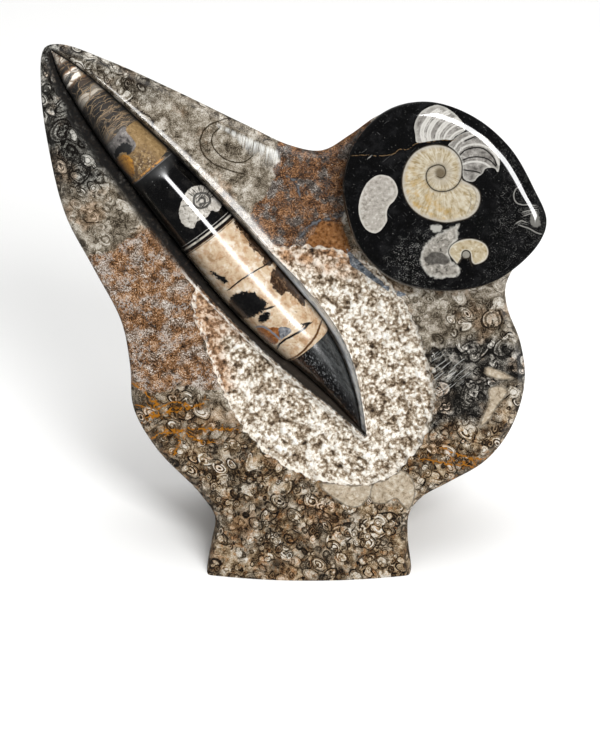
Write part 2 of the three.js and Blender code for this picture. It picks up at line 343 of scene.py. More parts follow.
apex = np.array(shell["apex"], float)
downShell = np.array(shell["tip"], float) - apex
shellLength = float(np.linalg.norm(downShell))
downShell = downShell / shellLength
acrossShell = np.array([-downShell[1], downShell[0]])
shellLeft = along(shell["stations"], shell["leftEdge"])
shellRight = along(shell["stations"], shell["rightEdge"])
channelLeft = along(channel["stations"], channel["leftEdge"])
channelRight = along(channel["stations"], channel["rightEdge"])
channelDepth = along(channel["stations"], channel["depth"])
crestBand = along(channel["crestStations"], channel["crestBand"])
crestWidth = along(channel["crestStations"], channel["crestWidth"])


# Distance down the shell from its apex, and to the right of its axis.
def shellPlaces(x, y):
    away = np.stack([x - apex[0], y - apex[1]], -1)
    return away @ downShell, away @ acrossShell


# The place on the face at a distance down the shell and to the right of its axis.
def onFace(station, offset):
    station = np.asarray(station, float)
    offset = np.asarray(offset, float)
    return (
        apex[0] + downShell[0] * station + acrossShell[0] * offset,
        apex[1] + downShell[1] * station + acrossShell[1] * offset,
    )


def crestHeight(station):
    return channel["crestSteepness"] * (crestBand(station) + crestWidth(station))


# How far the crest stands up from the face at a point.
def crestRise(x, y):
    station, offset = shellPlaces(x, y)
    away = np.maximum(0, offset - channelRight(station))
    onBand = np.minimum(away, crestBand(station))
    curve = crestWidth(station) * np.exp(-(away - onBand) / crestWidth(station))
    within = smoothstep(station, *channel["crestStart"]) * (1 - smoothstep(station, *channel["crestEnd"]))
    within = within * (offset > 0)
    return channel["crestSteepness"] * (crestBand(station) - onBand + curve) * within


# Rings at the stations, with a point at each end.
def axisRings(stations):
    return [(stations[0], 0), *[(station, 1) for station in stations], (stations[-1], 0)]


# How far the sides draw in at the rounded lip and below it.
def shoulderInset(station):
    down = shell["shoulderStep"] * (shellLength - station) / (shellLength - shell["shoulder"])
    intoLip = np.clip(1 - (shell["shoulder"] - station) / shell["lip"], 0, 1)
    rounded = shell["shoulderStep"] * (1 - np.sqrt(1 - intoLip**2))
    return np.where(station > shell["shoulder"], down, rounded)


# The shell's own body, or its bed when the margin is above 0.
def shellSolid(name, stations, ribs, margin):
    def place(turns, ring):
        station, swell = ring
        angle = turns / ribs * 2 * math.pi
        halfWidth = (shellRight(station) - shellLeft(station)) / 2 - shoulderInset(station)
        middle = (shellRight(station) + shellLeft(station)) / 2
        share = np.where(np.sin(angle) > 0, shell["crownShare"], shell["bellyShare"])
        x, y = onFace(station, middle + np.cos(angle) * (halfWidth + margin) * swell)
        rise = np.sin(angle) * (halfWidth * share + margin) * swell
        return np.stack([x, y, rise - channelDepth(station)], 1)

    return loft(name, ribs, axisRings(stations), place)


# Stations at even steps, and closer together in the lip.
def shellStations(count):
    shoulder, lip, margin = shell["shoulder"], shell["lip"], shell["lipMargin"]
    spread = np.linspace(shell["endGap"], shellLength - shell["endGap"], count)
    above = [station for station in spread if station < shoulder - lip - margin]
    below = [station for station in spread if station > shoulder + margin]
    return [*above, *(shoulder - lip * np.array(shell["lipSteps"])), *below]


# The cutter of the channel: steep on the left, hollowed on the right, with a rolled rim.
def channelTool():
    stations = np.linspace(0, channel["stations"][-1], channel["sections"])

    def place(turns, ring):
        station, swell = ring
        angle = turns / channel["ribs"] * 2 * math.pi
        cos, sin = np.cos(angle), np.sin(angle)
        left, right = channelLeft(station), channelRight(station)
        middle = (left + right) / 2
        halfWidth = (right - left) / 2 * swell
        crest = np.where(cos > 0, crestHeight(station), 0) * swell
        power = 2 / np.where(cos < 0, channel["wallSharpness"], channel["coveSharpness"])
        depth = channelDepth(station) * swell + crest
        low = sin < 0
        across = np.where(low, np.sign(cos) * np.abs(cos) ** power, cos)
        wall = crest - depth * np.abs(sin) ** power
        height = np.where(low, wall, crest + channel["mouthHeight"] * sin * swell)
        nearRim = np.clip((height - crest) / channel["roll"] + 1, 0, 1)
        flare = channel["roll"] * (1 - np.sqrt(1 - nearRim**2)) * swell
        flare = np.where(low, flare, channel["roll"] * swell) * np.sign(cos)
        x, y = onFace(station, middle + halfWidth * across + flare)
        return np.stack([x, y, height], 1)

    return loft("channelTool", channel["ribs"], axisRings(stations), place)


# The pecked hollow.
hollow = {
    "outline": [
        (27, 37.8), (39.4, 50), (45, 67), (42.2, 81), (36.5, 98), (25.5, 113.5), (9, 122.5), (-13, 123),
        (-30, 117.5), (-42, 106), (-37.2, 86), (-31, 69), (-21, 52.6), (-6, 41.2), (11, 36.1),
    ],
    "hub": (2, 80),  # the spokes start here
    "reach": 41,  # from the hub to the rim, about
    "segments": 400,
    "rings": 96,
    "mouthHeight": 4,
    "ledge": 1.6,
    "scoop": 2.6,
    "scoopReach": 7,
    "wall": 0.8,
    "facet": (18, 104),
    "facetWidth": 4.6,
    "facetReach": 24,
    "lump": 1.25,  # height of the broken lumps
    "lumpPitch": 2.5,
    "lumpMiddle": 0.42,
    "lumpShare": 1.3,
    # how far the lumps are pushed about, and over what distance
    "warp": 0.9,
    "warpPitch": 1.7,
    "warpSeed": 7,  # without a seed, Blender pushes them differently in each run
    # coarse and fine roughness over the lumps: pitch and share
    "roughness": ((3.4, 0.7), (1.3, 0.55)),
    "ragged": 0.7,  # how far the rim wanders, and over what distance
    "raggedPitch": 2.2,
    "calmNearFacet": (4, 16),  # distances from the facet over which the rim begins to wander
    "rimHeight": 0.02,
    # beside the channel the floor rises to a collar, and the lumps fade out
    "collar": (-0.2, 3.4),
    "lumpsFade": (0.4, 3.4),
    "collarDrop": 0.45,
    # the pecked look: how far it goes beyond the rim and into the channel, and how low it starts
    "peckedBeyond": 0.45,
    "peckedIntoChannel": 0.1,
    "peckedBelow": 0.2,
    "outlineSteps": 160,
}


# Broken lumps with pits between them.
def peckRise(x, y):
    noise.seed_set(hollow["warpSeed"])
    (coarsePitch, coarseShare), (finePitch, fineShare) = hollow["roughness"]
    rise = np.zeros(len(x))
    for i, (px, py) in enumerate(zip(x, y)):
        spot = Vector((px, py, 0))
        warp = noise.noise_vector(spot / hollow["warpPitch"]) * hollow["warp"]
        near = noise.voronoi((spot + warp) / hollow["lumpPitch"])[0][0]
        rise[i] = hollow["lumpShare"] * (hollow["lumpMiddle"] - near)
        rise[i] += coarseShare * noise.noise(spot / coarsePitch)
        rise[i] += fineShare * noise.noise(spot / finePitch)
    return rise * hollow["lump"]


# How far a point lies outside the channel, in mm. It is negative inside.
def besideChannel(x, y):
    station, offset = shellPlaces(x, y)
    away = np.maximum(offset - channelRight(station), channelLeft(station) - offset)
    past = station - channel["stations"][-1]
    return np.where(past > 0, np.hypot(np.maximum(away, 0), past), away)


# The cutter of the hollow, with the lumps on its floor and a slope at the facet.
def hollowTool():
    curve = closedCurve(hollow["outline"], hollow["segments"])
    arms, reach, _ = spokes(curve, hollow["hub"])
    hub = np.array(hollow["hub"], float)
    fromFacet = np.hypot(curve[:, 0] - hollow["facet"][0], curve[:, 1] - hollow["facet"][1])
    wall = lerp(hollow["facetWidth"], hollow["wall"], smoothstep(fromFacet, 0, hollow["facetReach"]))
    rough = [noise.noise(Vector((px, py, 9)) / hollow["raggedPitch"]) for px, py in curve]
    wander = np.array(rough) * hollow["ragged"] * 2 * smoothstep(fromFacet, *hollow["calmNearFacet"])
    # Above the floor come the rim, the mouth and the point that closes it: share of the reach, and height.
    mouth = hollow["mouthHeight"]
    above = {"rim": (1, hollow["rimHeight"]), "mouth": (1, mouth), "close": (0, mouth)}

    def place(turns, ring):
        if ring in above:
            share, height = above[ring]
            spot = hub + arms[turns] * (share * (reach + wander)[turns])[:, None]
            return np.column_stack([spot, column(len(turns), height)])
        spot = hub + arms[turns] * (ring * (reach + wander - wall)[turns])[:, None]
        x, y = spot[:, 0], spot[:, 1]
        fromRim = (1 - ring) * hollow["reach"]
        floor = -hollow["ledge"] - hollow["scoop"] * (1 - np.exp(-fromRim / hollow["scoopReach"]))
        beside = besideChannel(x, y)
        floor = floor + peckRise(x, y) * (ring > 0) * smoothstep(beside, *hollow["lumpsFade"])
        collarTop = crestRise(x, y) - hollow["collarDrop"]
        return np.column_stack([x, y, lerp(collarTop, floor, smoothstep(beside, *hollow["collar"]))])

    rings = [*np.linspace(0, 1, hollow["rings"]), *above]
    return loft("hollowTool", hollow["segments"], rings, place)


# The slab, with the outline of its face.
slab = {
    "outline": [
        (39, -14), (37.6, 3), (36.1, 16), (36.6, 24.5), (41, 30.6), (51, 36.6), (63.5, 44.6), (72.6, 57),
        (77.2, 74), (75.3, 88.5), (70.4, 101), (69.6, 109), (74.5, 120), (78, 131), (74.5, 144),
        (68.5, 153.5), (60, 162), (48, 169), (35, 171.5), (24, 169.3), (14, 162.6), (4, 157),
        (-7, 158.7), (-22.5, 165.8), (-47.4, 177.8), (-70, 187.9), (-87, 193.6), (-92.4, 192.2),
        (-94, 178), (-91.8, 157), (-86.5, 134), (-77, 115), (-67.6, 96), (-64.8, 80), (-63.8, 64.5),
        (-55.7, 49.3), (-40.5, 32.2), (-35, 22.6), (-36.2, 14), (-38, 4), (-39, -14),
    ],
    "hub": (-5, 90),  # the spokes start here
    "segments": 440,
    "backShares": (0, 0.3, 0.55, 0.75, 0.9),
    "backEdgeRings": 7,
    "sideRings": 14,
    "edgeRings": 8,
    "faceRings": 72,
    # The spokes that end here run along the crest, so they stand closer together.
    "crowdedAt": (-50, 179),
    "crowdedReach": 34,
    "crowding": 3,
    "depthAtFoot": 60,
    "depthAtTop": 17,
    "footHeight": 21.9,
    "topHeight": 197.9,
    "sideDraftDegrees": 7,
    # radii of the edges, and the heights between which one passes into the other
    "edgeRadius": 2.2,
    "footEdgeRadius": 5.5,
    "edgeHeights": (10, 45),
    "backRadius": 7,
    "tipBackRadius": 2.5,
    "backHeights": (110, 185),
    # the face bows back to both sides at the foot
    "bow": 3.2,
    "bowHalfWidth": 37,
    "bowHeight": 52,
    "ease": 0.1,  # keeps the finer outline inside the plain solid's
    "smoothDegrees": 34,
    "crestFade": 0.1,  # the crest fades out towards the hub, by this power of the distance
    "markDepth": 11,  # the tooling and the polish marks of the face go no deeper than this
    "outlineSteps": 160,
}


def slabDepth(height):
    share = (height - slab["footHeight"]) / (slab["topHeight"] - slab["footHeight"])
    return lerp(slab["depthAtFoot"], slab["depthAtTop"], share)


# Height of the face from its plane. It is below 0 where the face bows back.
def faceBow(x, y):
    return -slab["bow"] * (x / slab["bowHalfWidth"]) ** 2 * (1 - smoothstep(y, 0, slab["bowHeight"]))


def crowdAlongCrest(points):
    away = np.hypot(points[:, 0] - slab["crowdedAt"][0], points[:, 1] - slab["crowdedAt"][1])
    return 1 + slab["crowding"] * np.exp(-((away / slab["crowdedReach"]) ** 2))


def slabBody():
    curve = closedCurve(slab["outline"], slab["segments"], crowdAlongCrest)
    arms, reach, squareness = spokes(curve, slab["hub"])
    hub = np.array(slab["hub"], float)
    draft = math.tan(math.radians(slab["sideDraftDegrees"]))
    rings = [("back", share, 0) for share in slab["backShares"]]
    rings += [("back", 1, step) for step in np.linspace(0, 1, slab["backEdgeRings"])]
    rings += [("side", 1, step) for step in np.linspace(0, 1, slab["sideRings"])[1:-1]]
    rings += [("face", 1, step) for step in np.linspace(0, 1, slab["edgeRings"])]
    rings += [("face", share, 1) for share in np.linspace(1, 0, slab["faceRings"])[1:]]

    def place(turns, ring):
        zone, share, step = ring
        rim = curve[turns]

        def inwards(inset):
            length = reach[turns] - (inset + slab["ease"]) / squareness[turns]
            return hub + arms[turns] * (share * length)[:, None]

        quarter = step * math.pi / 2
        towardsFace = smoothstep(rim[:, 1], *slab["edgeHeights"])
        edge = lerp(slab["footEdgeRadius"], slab["edgeRadius"], towardsFace)
        towardsTip = smoothstep(rim[:, 1], *slab["backHeights"])
        backEdge = lerp(slab["backRadius"], slab["tipBackRadius"], towardsTip)
        wallFoot = slabDepth(rim[:, 1]) - backEdge
        if zone == "face":
            spot = inwards(edge * (1 - math.cos(quarter)))
            x, y = spot[:, 0], spot[:, 1]
            crest = crestRise(x, y) * share ** slab["crestFade"]
            height = faceBow(x, y) - edge * (1 - math.sin(quarter)) + crest
        elif zone == "side":
            depth = lerp(wallFoot, edge - faceBow(rim[:, 0], rim[:, 1]), step)
            spot = inwards(draft * depth)
            height = -depth
        else:
            spot = inwards(draft * wallFoot + backEdge * (1 - math.sin(quarter)))
            height = backEdge * (1 - math.cos(quarter)) - slabDepth(spot[:, 1]) + slab["ease"]
        return np.column_stack([spot, height])

    return loft("limestoneMatrix", slab["segments"], rings, place)


# The slab with the hollow, the channel and the shell's bed cut in it.
def makeSlab():
    piece = slabBody()
    print("slab lofted:", len(piece.data.polygons), "faces")
    carve(piece, hollowTool())
    carve(piece, channelTool())
    margin = channel["clearance"]
    bedStations = [-margin, *shellStations(channel["bedSections"]), shellLength + margin]
    carve(piece, shellSolid("bedTool", bedStations, channel["bedRibs"], margin))
    setInPlace(piece, slab["smoothDegrees"])
    bpy.ops.object.mode_set(mode="EDIT")
    bpy.ops.mesh.select_all(action="SELECT")
    # The sawn foot is flat on the ground.
    ground = {"plane_co": (0, 0, 0), "plane_no": (0, 0, 1)}
    bpy.ops.mesh.bisect(**ground, use_fill=True, clear_inner=True, threshold=1e-6)
    bpy.ops.object.mode_set(mode="OBJECT")
    print("slab carved:", len(piece.data.polygons), "faces")
    return piece


def makeShell():
    stations = shellStations(shell["sections"])
    piece = shellSolid("orthocerasShell", stations, shell["ribs"], -shell["ease"])
    setInPlace(piece, shell["smoothDegrees"])
    print("shell lofted:", len(piece.data.polygons), "faces")
    return piece


# The cabochon.
disc = {
    "outline": [
        (43, 108.7), (60.4, 110.4), (71.3, 116.6), (79.9, 126), (82, 133.5), (77.2, 144.8), (68.9, 158.4),
        (56.3, 169), (41, 174), (27.3, 171.5), (16, 161.6), (11, 148), (12.8, 133.5), (17.9, 121.9),
        (28.9, 112.4),
    ],
    "hub": (46, 141),  # the spokes start here
    "segments": 480,
    "footShares": (0, 0.5, 0.85, 1),
    "footRings": 6,
    "rimRings": 24,
    "faceRings": 110,
    "clearance": 0.3,
    "thickness": 12,
    "crown": 0.9,
    "rimInset": 7,
    "rimRise": 3.6,
    "footRadius": 1.6,
    "ease": 0.07,
    "smoothDegrees": 60,
}


# The disc, from the foot up over the rounded rim to the crown of its face.
def makeDisc():
    curve = closedCurve(disc["outline"], disc["segments"])
    arms, reach, _ = spokes(curve, disc["hub"])
    hub = np.array(disc["hub"], float)
    foot, rimInset, rimRise = disc["footRadius"], disc["rimInset"], disc["rimRise"]
    low, thickness = disc["clearance"], disc["thickness"]
    # Each ring is a share of the reach, an inset and a height.
    rings = [(share, foot, low) for share in disc["footShares"]]
    for step in np.linspace(0, 1, disc["footRings"])[1:]:
        rings.append((1, foot * (1 - math.sin(step * math.pi / 2)), low + foot * step))
    rings.append((1, 0, lerp(low + foot, thickness - rimRise, 0.5)))
    for quarter in np.linspace(0, 1, disc["rimRings"]) * math.pi / 2:
        height = thickness - rimRise * (1 - math.sin(quarter))
        rings.append((1, rimInset * (1 - math.cos(quarter)), height))
    for share in np.linspace(1, 0, disc["faceRings"])[1:]:
        rings.append((share, rimInset, thickness + disc["crown"] * (1 - share**2)))

    def place(turns, ring):
        share, inset, height = ring
        spot = hub + arms[turns] * (share * (reach[turns] - inset - disc["ease"]))[:, None]
        return np.column_stack([spot, column(len(turns), height)])

    piece = loft("goniatiteCabochon", disc["segments"], rings, place)
    setInPlace(piece, disc["smoothDegrees"])
    print("cabochon lofted:", len(piece.data.polygons), "faces")
    return piece


# Outlines and lines on the slab's face, in mm. The meshes store the distances from them.
stoneAreas = {
    "rustLeft": [
        (-80, 119), (-71, 121), (-68, 123), (-65, 126), (-62, 127), (-58, 130), (-56, 130), (-39, 109),
        (-39, 97), (-37, 86), (-33, 73), (-40, 72), (-45, 74), (-52, 71), (-58, 70), (-62, 73), (-70, 74),
        (-82, 104),
    ],
    "rustCentre": [
        (-10, 162), (2, 164), (14, 168), (23, 172), (16, 157), (12, 143), (12, 127), (15, 118), (-4, 121),
        (-10, 122), (-21, 135), (-19, 139), (-17, 140), (-15, 143), (-14, 147), (-12, 148), (-13, 151),
        (-11, 154), (-12, 156),
    ],
    "brownPatch": [(-2, 124), (1, 128), (3, 132), (7, 132), (11, 130), (14, 118), (7, 120), (-1, 122)],
    "darkTip": [
        (-97, 198), (-87, 198), (-66, 190), (-52, 183), (-56, 173), (-70, 181), (-83, 188), (-75, 164),
        (-70, 154), (-74, 145), (-84, 143), (-92, 155), (-97, 174),
    ],
    "scraped": [
        (-42, 108), (-36, 108), (-26, 97), (-24, 90), (-31, 90), (-31, 78), (-31, 68), (-37, 66), (-42, 86),
    ],
    "grinding": [(44, 85), (50, 84), (56, 82), (57, 77), (51, 72), (46, 67), (44, 75)],
    "quiet": [
        (-60, 178), (-45, 175), (-22, 163), (-9, 157), (-8, 140), (-12, 122), (-22, 131), (-36, 148),
        (-50, 163),
    ],
    "darkRight": [
        (41, 84), (46, 88), (57, 90), (68, 90), (80, 84), (79, 75), (70, 73), (66, 68), (61, 60), (50, 59),
        (43, 57), (45, 68), (43, 79),
    ],
    "creamShellLeft": [
        (3, 37), (6, 37), (11, 37), (16, 36), (22, 37), (23, 34), (21, 31), (18, 28), (14, 28), (9, 31),
        (5, 34),
    ],
    "creamShellRight": [
        (23, 37), (27, 38), (32, 42), (36, 40), (38, 36), (38, 31), (36, 26), (33, 29), (31, 31), (27, 29),
        (22, 30),
    ],
    "paleBand": [
        (64, 72), (67, 73), (71, 72), (70, 69), (67, 65), (65, 61), (63, 59), (60, 57), (62, 62), (64, 67),
    ],
    "paleBlot": [(63, 80), (67, 79), (71, 77), (74, 75), (70, 75), (65, 76), (62, 78)],
    "facet": [
        (10.9, 129), (12.6, 123.2), (15.1, 120.2), (17.8, 117.4), (21.6, 113.6), (25.5, 110.6), (29.9, 108),
        (34.3, 105.9), (31, 105.4), (27.7, 107), (24.9, 109), (21.1, 111.6), (17.8, 114), (14.5, 116),
        (13.7, 119.1), (12.1, 123.7),
    ],
    "glare": [
        (-32.8, 166.1), (-26.9, 163.5), (-20.4, 160.6), (-13.8, 157.6), (-11.2, 156.3), (-11.8, 149),
        (-15.8, 150.7), (-21.7, 155.6), (-26.4, 161.6),
    ],
}
stoneTraces = {
    "veins": [
        [(-64, 74), (-59, 70), (-56, 65), (-57, 61)],
        [(-55, 67), (-58, 62), (-60, 60)],
        [(-59, 60), (-52, 63), (-45, 64), (-38, 67)],
        [(-58, 53), (-53, 56), (-50, 57), (-47, 53), (-49, 48)],
        [(-52, 55), (-45, 57), (-36, 57), (-27, 57)],
        [(-62, 66), (-56, 64), (-50, 67), (-44, 66)],
        [(-46, 57), (-41, 53), (-35, 52)],
        [(41, 46), (51, 44), (58, 43), (64, 39)],
        [(52, 38), (58, 37), (64, 40), (69, 46)],
        [(48, 50), (55, 47), (63, 46), (70, 50)],
    ],
    "arcs": [
        [(-21.6, 169), (-26.9, 168.5), (-31.9, 167.2), (-36.4, 164.9), (-38.5, 161), (-38.1, 157),
         (-34.9, 153), (-28.4, 150.1), (-23.7, 148.8)],
        [(-31.9, 164.8), (-34.2, 162.2), (-34.5, 159.6), (-32, 155.6), (-28.3, 153.3), (-23.1, 153),
         (-20.4, 155)],
    ],
    "glareTop": [[(-32.8, 166.4), (-26.9, 163.9), (-20.4, 160.8), (-13.8, 157.6), (-10.8, 156)]],
    "greyVeins": [
        [(-3.2, 127.1), (-0.6, 130.5), (3.4, 132.5)],
        [(6.2, 132.9), (9.4, 133.8), (12.7, 135.8)],
        [(-8, 148), (-5, 146), (-4, 142)],
    ],
}

# Outlines and lines on the shell: distance down it, and to the right of its axis.
shellAreas = {
    "goldBlock": [
        (37.4, 7.7), (44.4, 8.8), (51.7, 9.6), (52.2, 7.9), (52.9, 0.8), (53.4, -6), (48.3, -6.8),
        (43.6, -7.7), (42.5, -2.9), (44.6, -0.2), (43.6, 2.8), (40.6, 3.1), (37.3, 3.2),
    ],
    "greyPatch": [
        (36.3, 3.5), (40.6, 3.1), (43.6, 2.8), (44.6, -0.2), (42.5, -2.9), (43.6, -7.7), (38.7, -8.1),
        (36.8, -1.6),
    ],
    "inkInGrey": [
        (40.1, -1.7), (40.8, 0.4), (43.1, 1.1), (44.7, -1.1), (42.5, -2.9), (42.8, -6.1), (41.4, -5.7),
    ],
    "ochreCorner": [(43.8, -7.2), (43.5, -2.8), (46.1, -1.5), (49.3, -2.8), (51.7, -5.4), (48.5, -6.4)],
    "paleShell": [
        (68.2, 3.7), (66.9, 7.2), (68.6, 10.9), (72.4, 12.4), (76.1, 12.7), (78.9, 12), (79.2, 9.8),
        (77.7, 8.8), (78.4, 6.1), (77.4, 2.7), (78.4, 0.2), (75.6, -1.8), (72.5, -1.3), (70, 0.7),
    ],
    "blob": [
        (105.5, -4.7), (106.1, -1.6), (108.9, 2.2), (111.8, 3), (114.7, 3.6), (116.3, 1.6), (115.8, -2.6),
        (115.4, -5.3), (113.6, -8.2), (110.7, -9), (107.2, -7),
    ],
    "blackBar": [(117.3, -2), (117.2, 1), (118.6, 2), (119.6, 1), (119.6, -2.2), (118.6, -2.8)],
    "rustPatch": [
        (119.8, -4.9), (121.9, -2.3), (123.7, 0.5), (124.9, 1.3), (127, 0.2), (128.1, -1.4),
        (128.9, -3.7), (126.6, -5.4), (123.1, -5.8),
    ],
    "greyTriangle": [
        (124.7, 1.3), (126.1, 3.6), (127.9, 4.3), (128.5, 3.4), (128.6, 0.8), (128.6, -0.9), (127.5, -0.6),
    ],
    "brownRight": [
        (107.6, 13.4), (109.3, 9.6), (112.3, 8.6), (115.8, 8.8), (116.7, 11.4), (120, 12.1),
        (124.7, 12.7), (121, 16), (115.2, 17), (108.2, 17),
    ],
    "brownEdge": [(86, 12.2), (91.5, 12), (97.5, 11.2), (101, 11.9), (105, 11.4), (106, 17), (84, 17)],
    "spots": [
        (94.2, -5.2), (96, -4.9), (98.2, -4.4), (100.4, -3.6), (100.5, -2.4), (98.9, -2.2), (97, -3.4),
        (94.6, -4.3),
    ],
}
shellTraces = {
    "septum": [[(103.1, -3.9), (102.8, 1), (103.6, 7.4), (105.2, 13.6)]],
    "streaks": [
        [(116.4, 2), (117.2, 4.2)],
        [(130.4, -3.9), (129.7, -2.7), (129.4, 0.1), (129.9, 4), (130.6, 8.1), (130.3, 10.4)],
        [(129.2, 8.8), (130.4, 10.6)],
    ],
    "eye": [
        [(70.5, 6.6), (70, 8.2), (71.1, 10), (73.1, 10.9), (74.8, 10.3), (75.4, 8.5), (74.4, 6.3),
         (72.5, 5.5), (70.5, 6.6)],
        [(72.1, 7.4), (71.9, 8.6), (73.1, 9.3), (74.1, 8.4), (73.4, 7.2)],
    ],
    "ticks": [
        [(68.2, 6.6), (69.4, 6.8)], [(68, 8.2), (69.3, 8.4)], [(68.7, 10), (69.8, 9.6)],
        [(70.1, 11.4), (70.8, 10.6)], [(72, 12.1), (72.4, 11.2)], [(74.4, 12.3), (74.2, 11.3)],
        [(70.2, 2.2), (71.4, 4)], [(76.8, 3.4), (75.4, 5.2)],
    ],
    "greyVein": [[(119.8, -4.9), (120.8, -3.1), (123.5, -1.9), (126, -1.4), (127.9, -1.2)]],
    "endRim": [[(136.6, -5), (136.9, 0), (136.3, 4.9), (135.2, 9.8), (133.4, 13.4)]],
}

# Outlines and lines on the cabochon's face, in mm.
discAreas = {
    "coilBody": [
        (42.8, 159.9), (39.2, 159.3), (36, 157.7), (33.4, 154.8), (31.8, 151.1), (31.3, 147.4),
        (31.9, 143.2), (33.6, 139.5), (36.3, 136.6), (39.5, 134.7), (43.2, 133.6), (47, 133.1),
        (50.7, 133.7), (54.3, 134.7), (57, 136.9), (58.2, 139.5), (58.4, 142.7), (57.4, 144.8),
        (55.7, 146.1), (53.6, 147.2), (51.9, 148.2), (51.9, 150.6), (51.9, 152.7), (51.1, 155.3),
        (49.2, 157.7), (46.5, 159.3),
    ],
    "kidney": [
        (22.4, 149.2), (25.1, 149.5), (27.7, 148.5), (29.5, 145.9), (29.9, 143.2), (28.8, 140.8),
        (27, 138.9), (26.2, 136.6), (26.3, 133.7), (25, 131.4), (23.5, 129.8), (21.8, 129.4),
        (19.4, 130.5), (17.8, 132.6), (16.7, 135.8), (16.6, 139.5), (17.5, 143.2), (19.5, 146.9),
    ],
    "fan": [
        (36.3, 160.6), (35.7, 163.2), (35.4, 166.3), (36.2, 168.9), (38, 171.2), (40.6, 172.6),
        (43.2, 173.2), (46.3, 172.3), (49, 170.5), (51.1, 168.4), (52.3, 166.8), (53, 165),
        (51.2, 163.7), (49.1, 162.4), (48.6, 161.6), (45.4, 161.6), (42.3, 161.3), (39.1, 160.8),
    ],
    "lobes": [
        (48.1, 160.8), (49.6, 162.4), (51.7, 163.7), (54.1, 164.3), (56.4, 164.2), (59.1, 162.9),
        (61.8, 160.6), (63.6, 157.9), (64.8, 154.8), (64.7, 151.7), (64.2, 150.3), (63.3, 151.7),
        (61.4, 152), (59.7, 151.5), (59.1, 150.1), (57.3, 148.8), (56, 147.3), (54.1, 147.4),
        (52.6, 148.2), (52, 150.6), (51.9, 153.2), (50.6, 156.1), (48.8, 158.4), (47, 159.8),
    ],
    "lowerShell": [
        (51.2, 132.4), (48, 131.1), (43.8, 128.9), (40.7, 126.8), (38.6, 123.5), (38.1, 120.3),
        (38.9, 117.4), (40.8, 114.9), (44.1, 113.8), (47.3, 113.9), (50.5, 114.3), (52, 116),
        (51, 118.2), (49.3, 119.3), (48, 121.4), (48.2, 124.1), (49.8, 126.1), (50.9, 127.8),
        (50.7, 130),
    ],
    "lowerDark": [
        (39.4, 120.1), (41, 122.2), (43.4, 123), (46.1, 122.2), (48.3, 119.8), (46.7, 118.5),
        (43.5, 118.7), (40.8, 118.8),
    ],
    "nub": [(41.4, 132.1), (43.3, 132.4), (45.1, 132.1), (45, 130.4), (43.3, 129.8), (41.8, 130.5)],
    "smallCoil": [
        (51, 118.6), (49.3, 120.3), (47.8, 122.5), (48.2, 124.6), (49.8, 126.2), (52.4, 127.3),
        (55.5, 127.6), (58.7, 126.8), (60.9, 125.2), (61.7, 122.7), (60.9, 120.3), (58.9, 118.9),
        (56.8, 118.5), (55.8, 119.5), (55.4, 121.7), (54.8, 123.1), (52.9, 123.1), (52.4, 121.4),
        (52, 119.9),
    ],
    "eyeDisc": [
        (52.3, 121.8), (53.1, 123.1), (54.5, 123.1), (55.3, 121.9), (54.8, 120.8), (53.8, 120.5),
        (52.7, 120.8),
    ],
    "fragment": [
        (75.8, 134.7), (77.1, 136.6), (78.4, 136.3), (79.2, 133.9), (79.4, 132.1), (78, 131.4),
        (76.2, 132.5),
    ],
    "scuffs": [
        (30, 124), (34, 128), (40, 131), (44, 128), (40, 126), (38, 121), (39, 115), (44, 110), (38, 109),
        (31, 113), (27, 119),
    ],
}
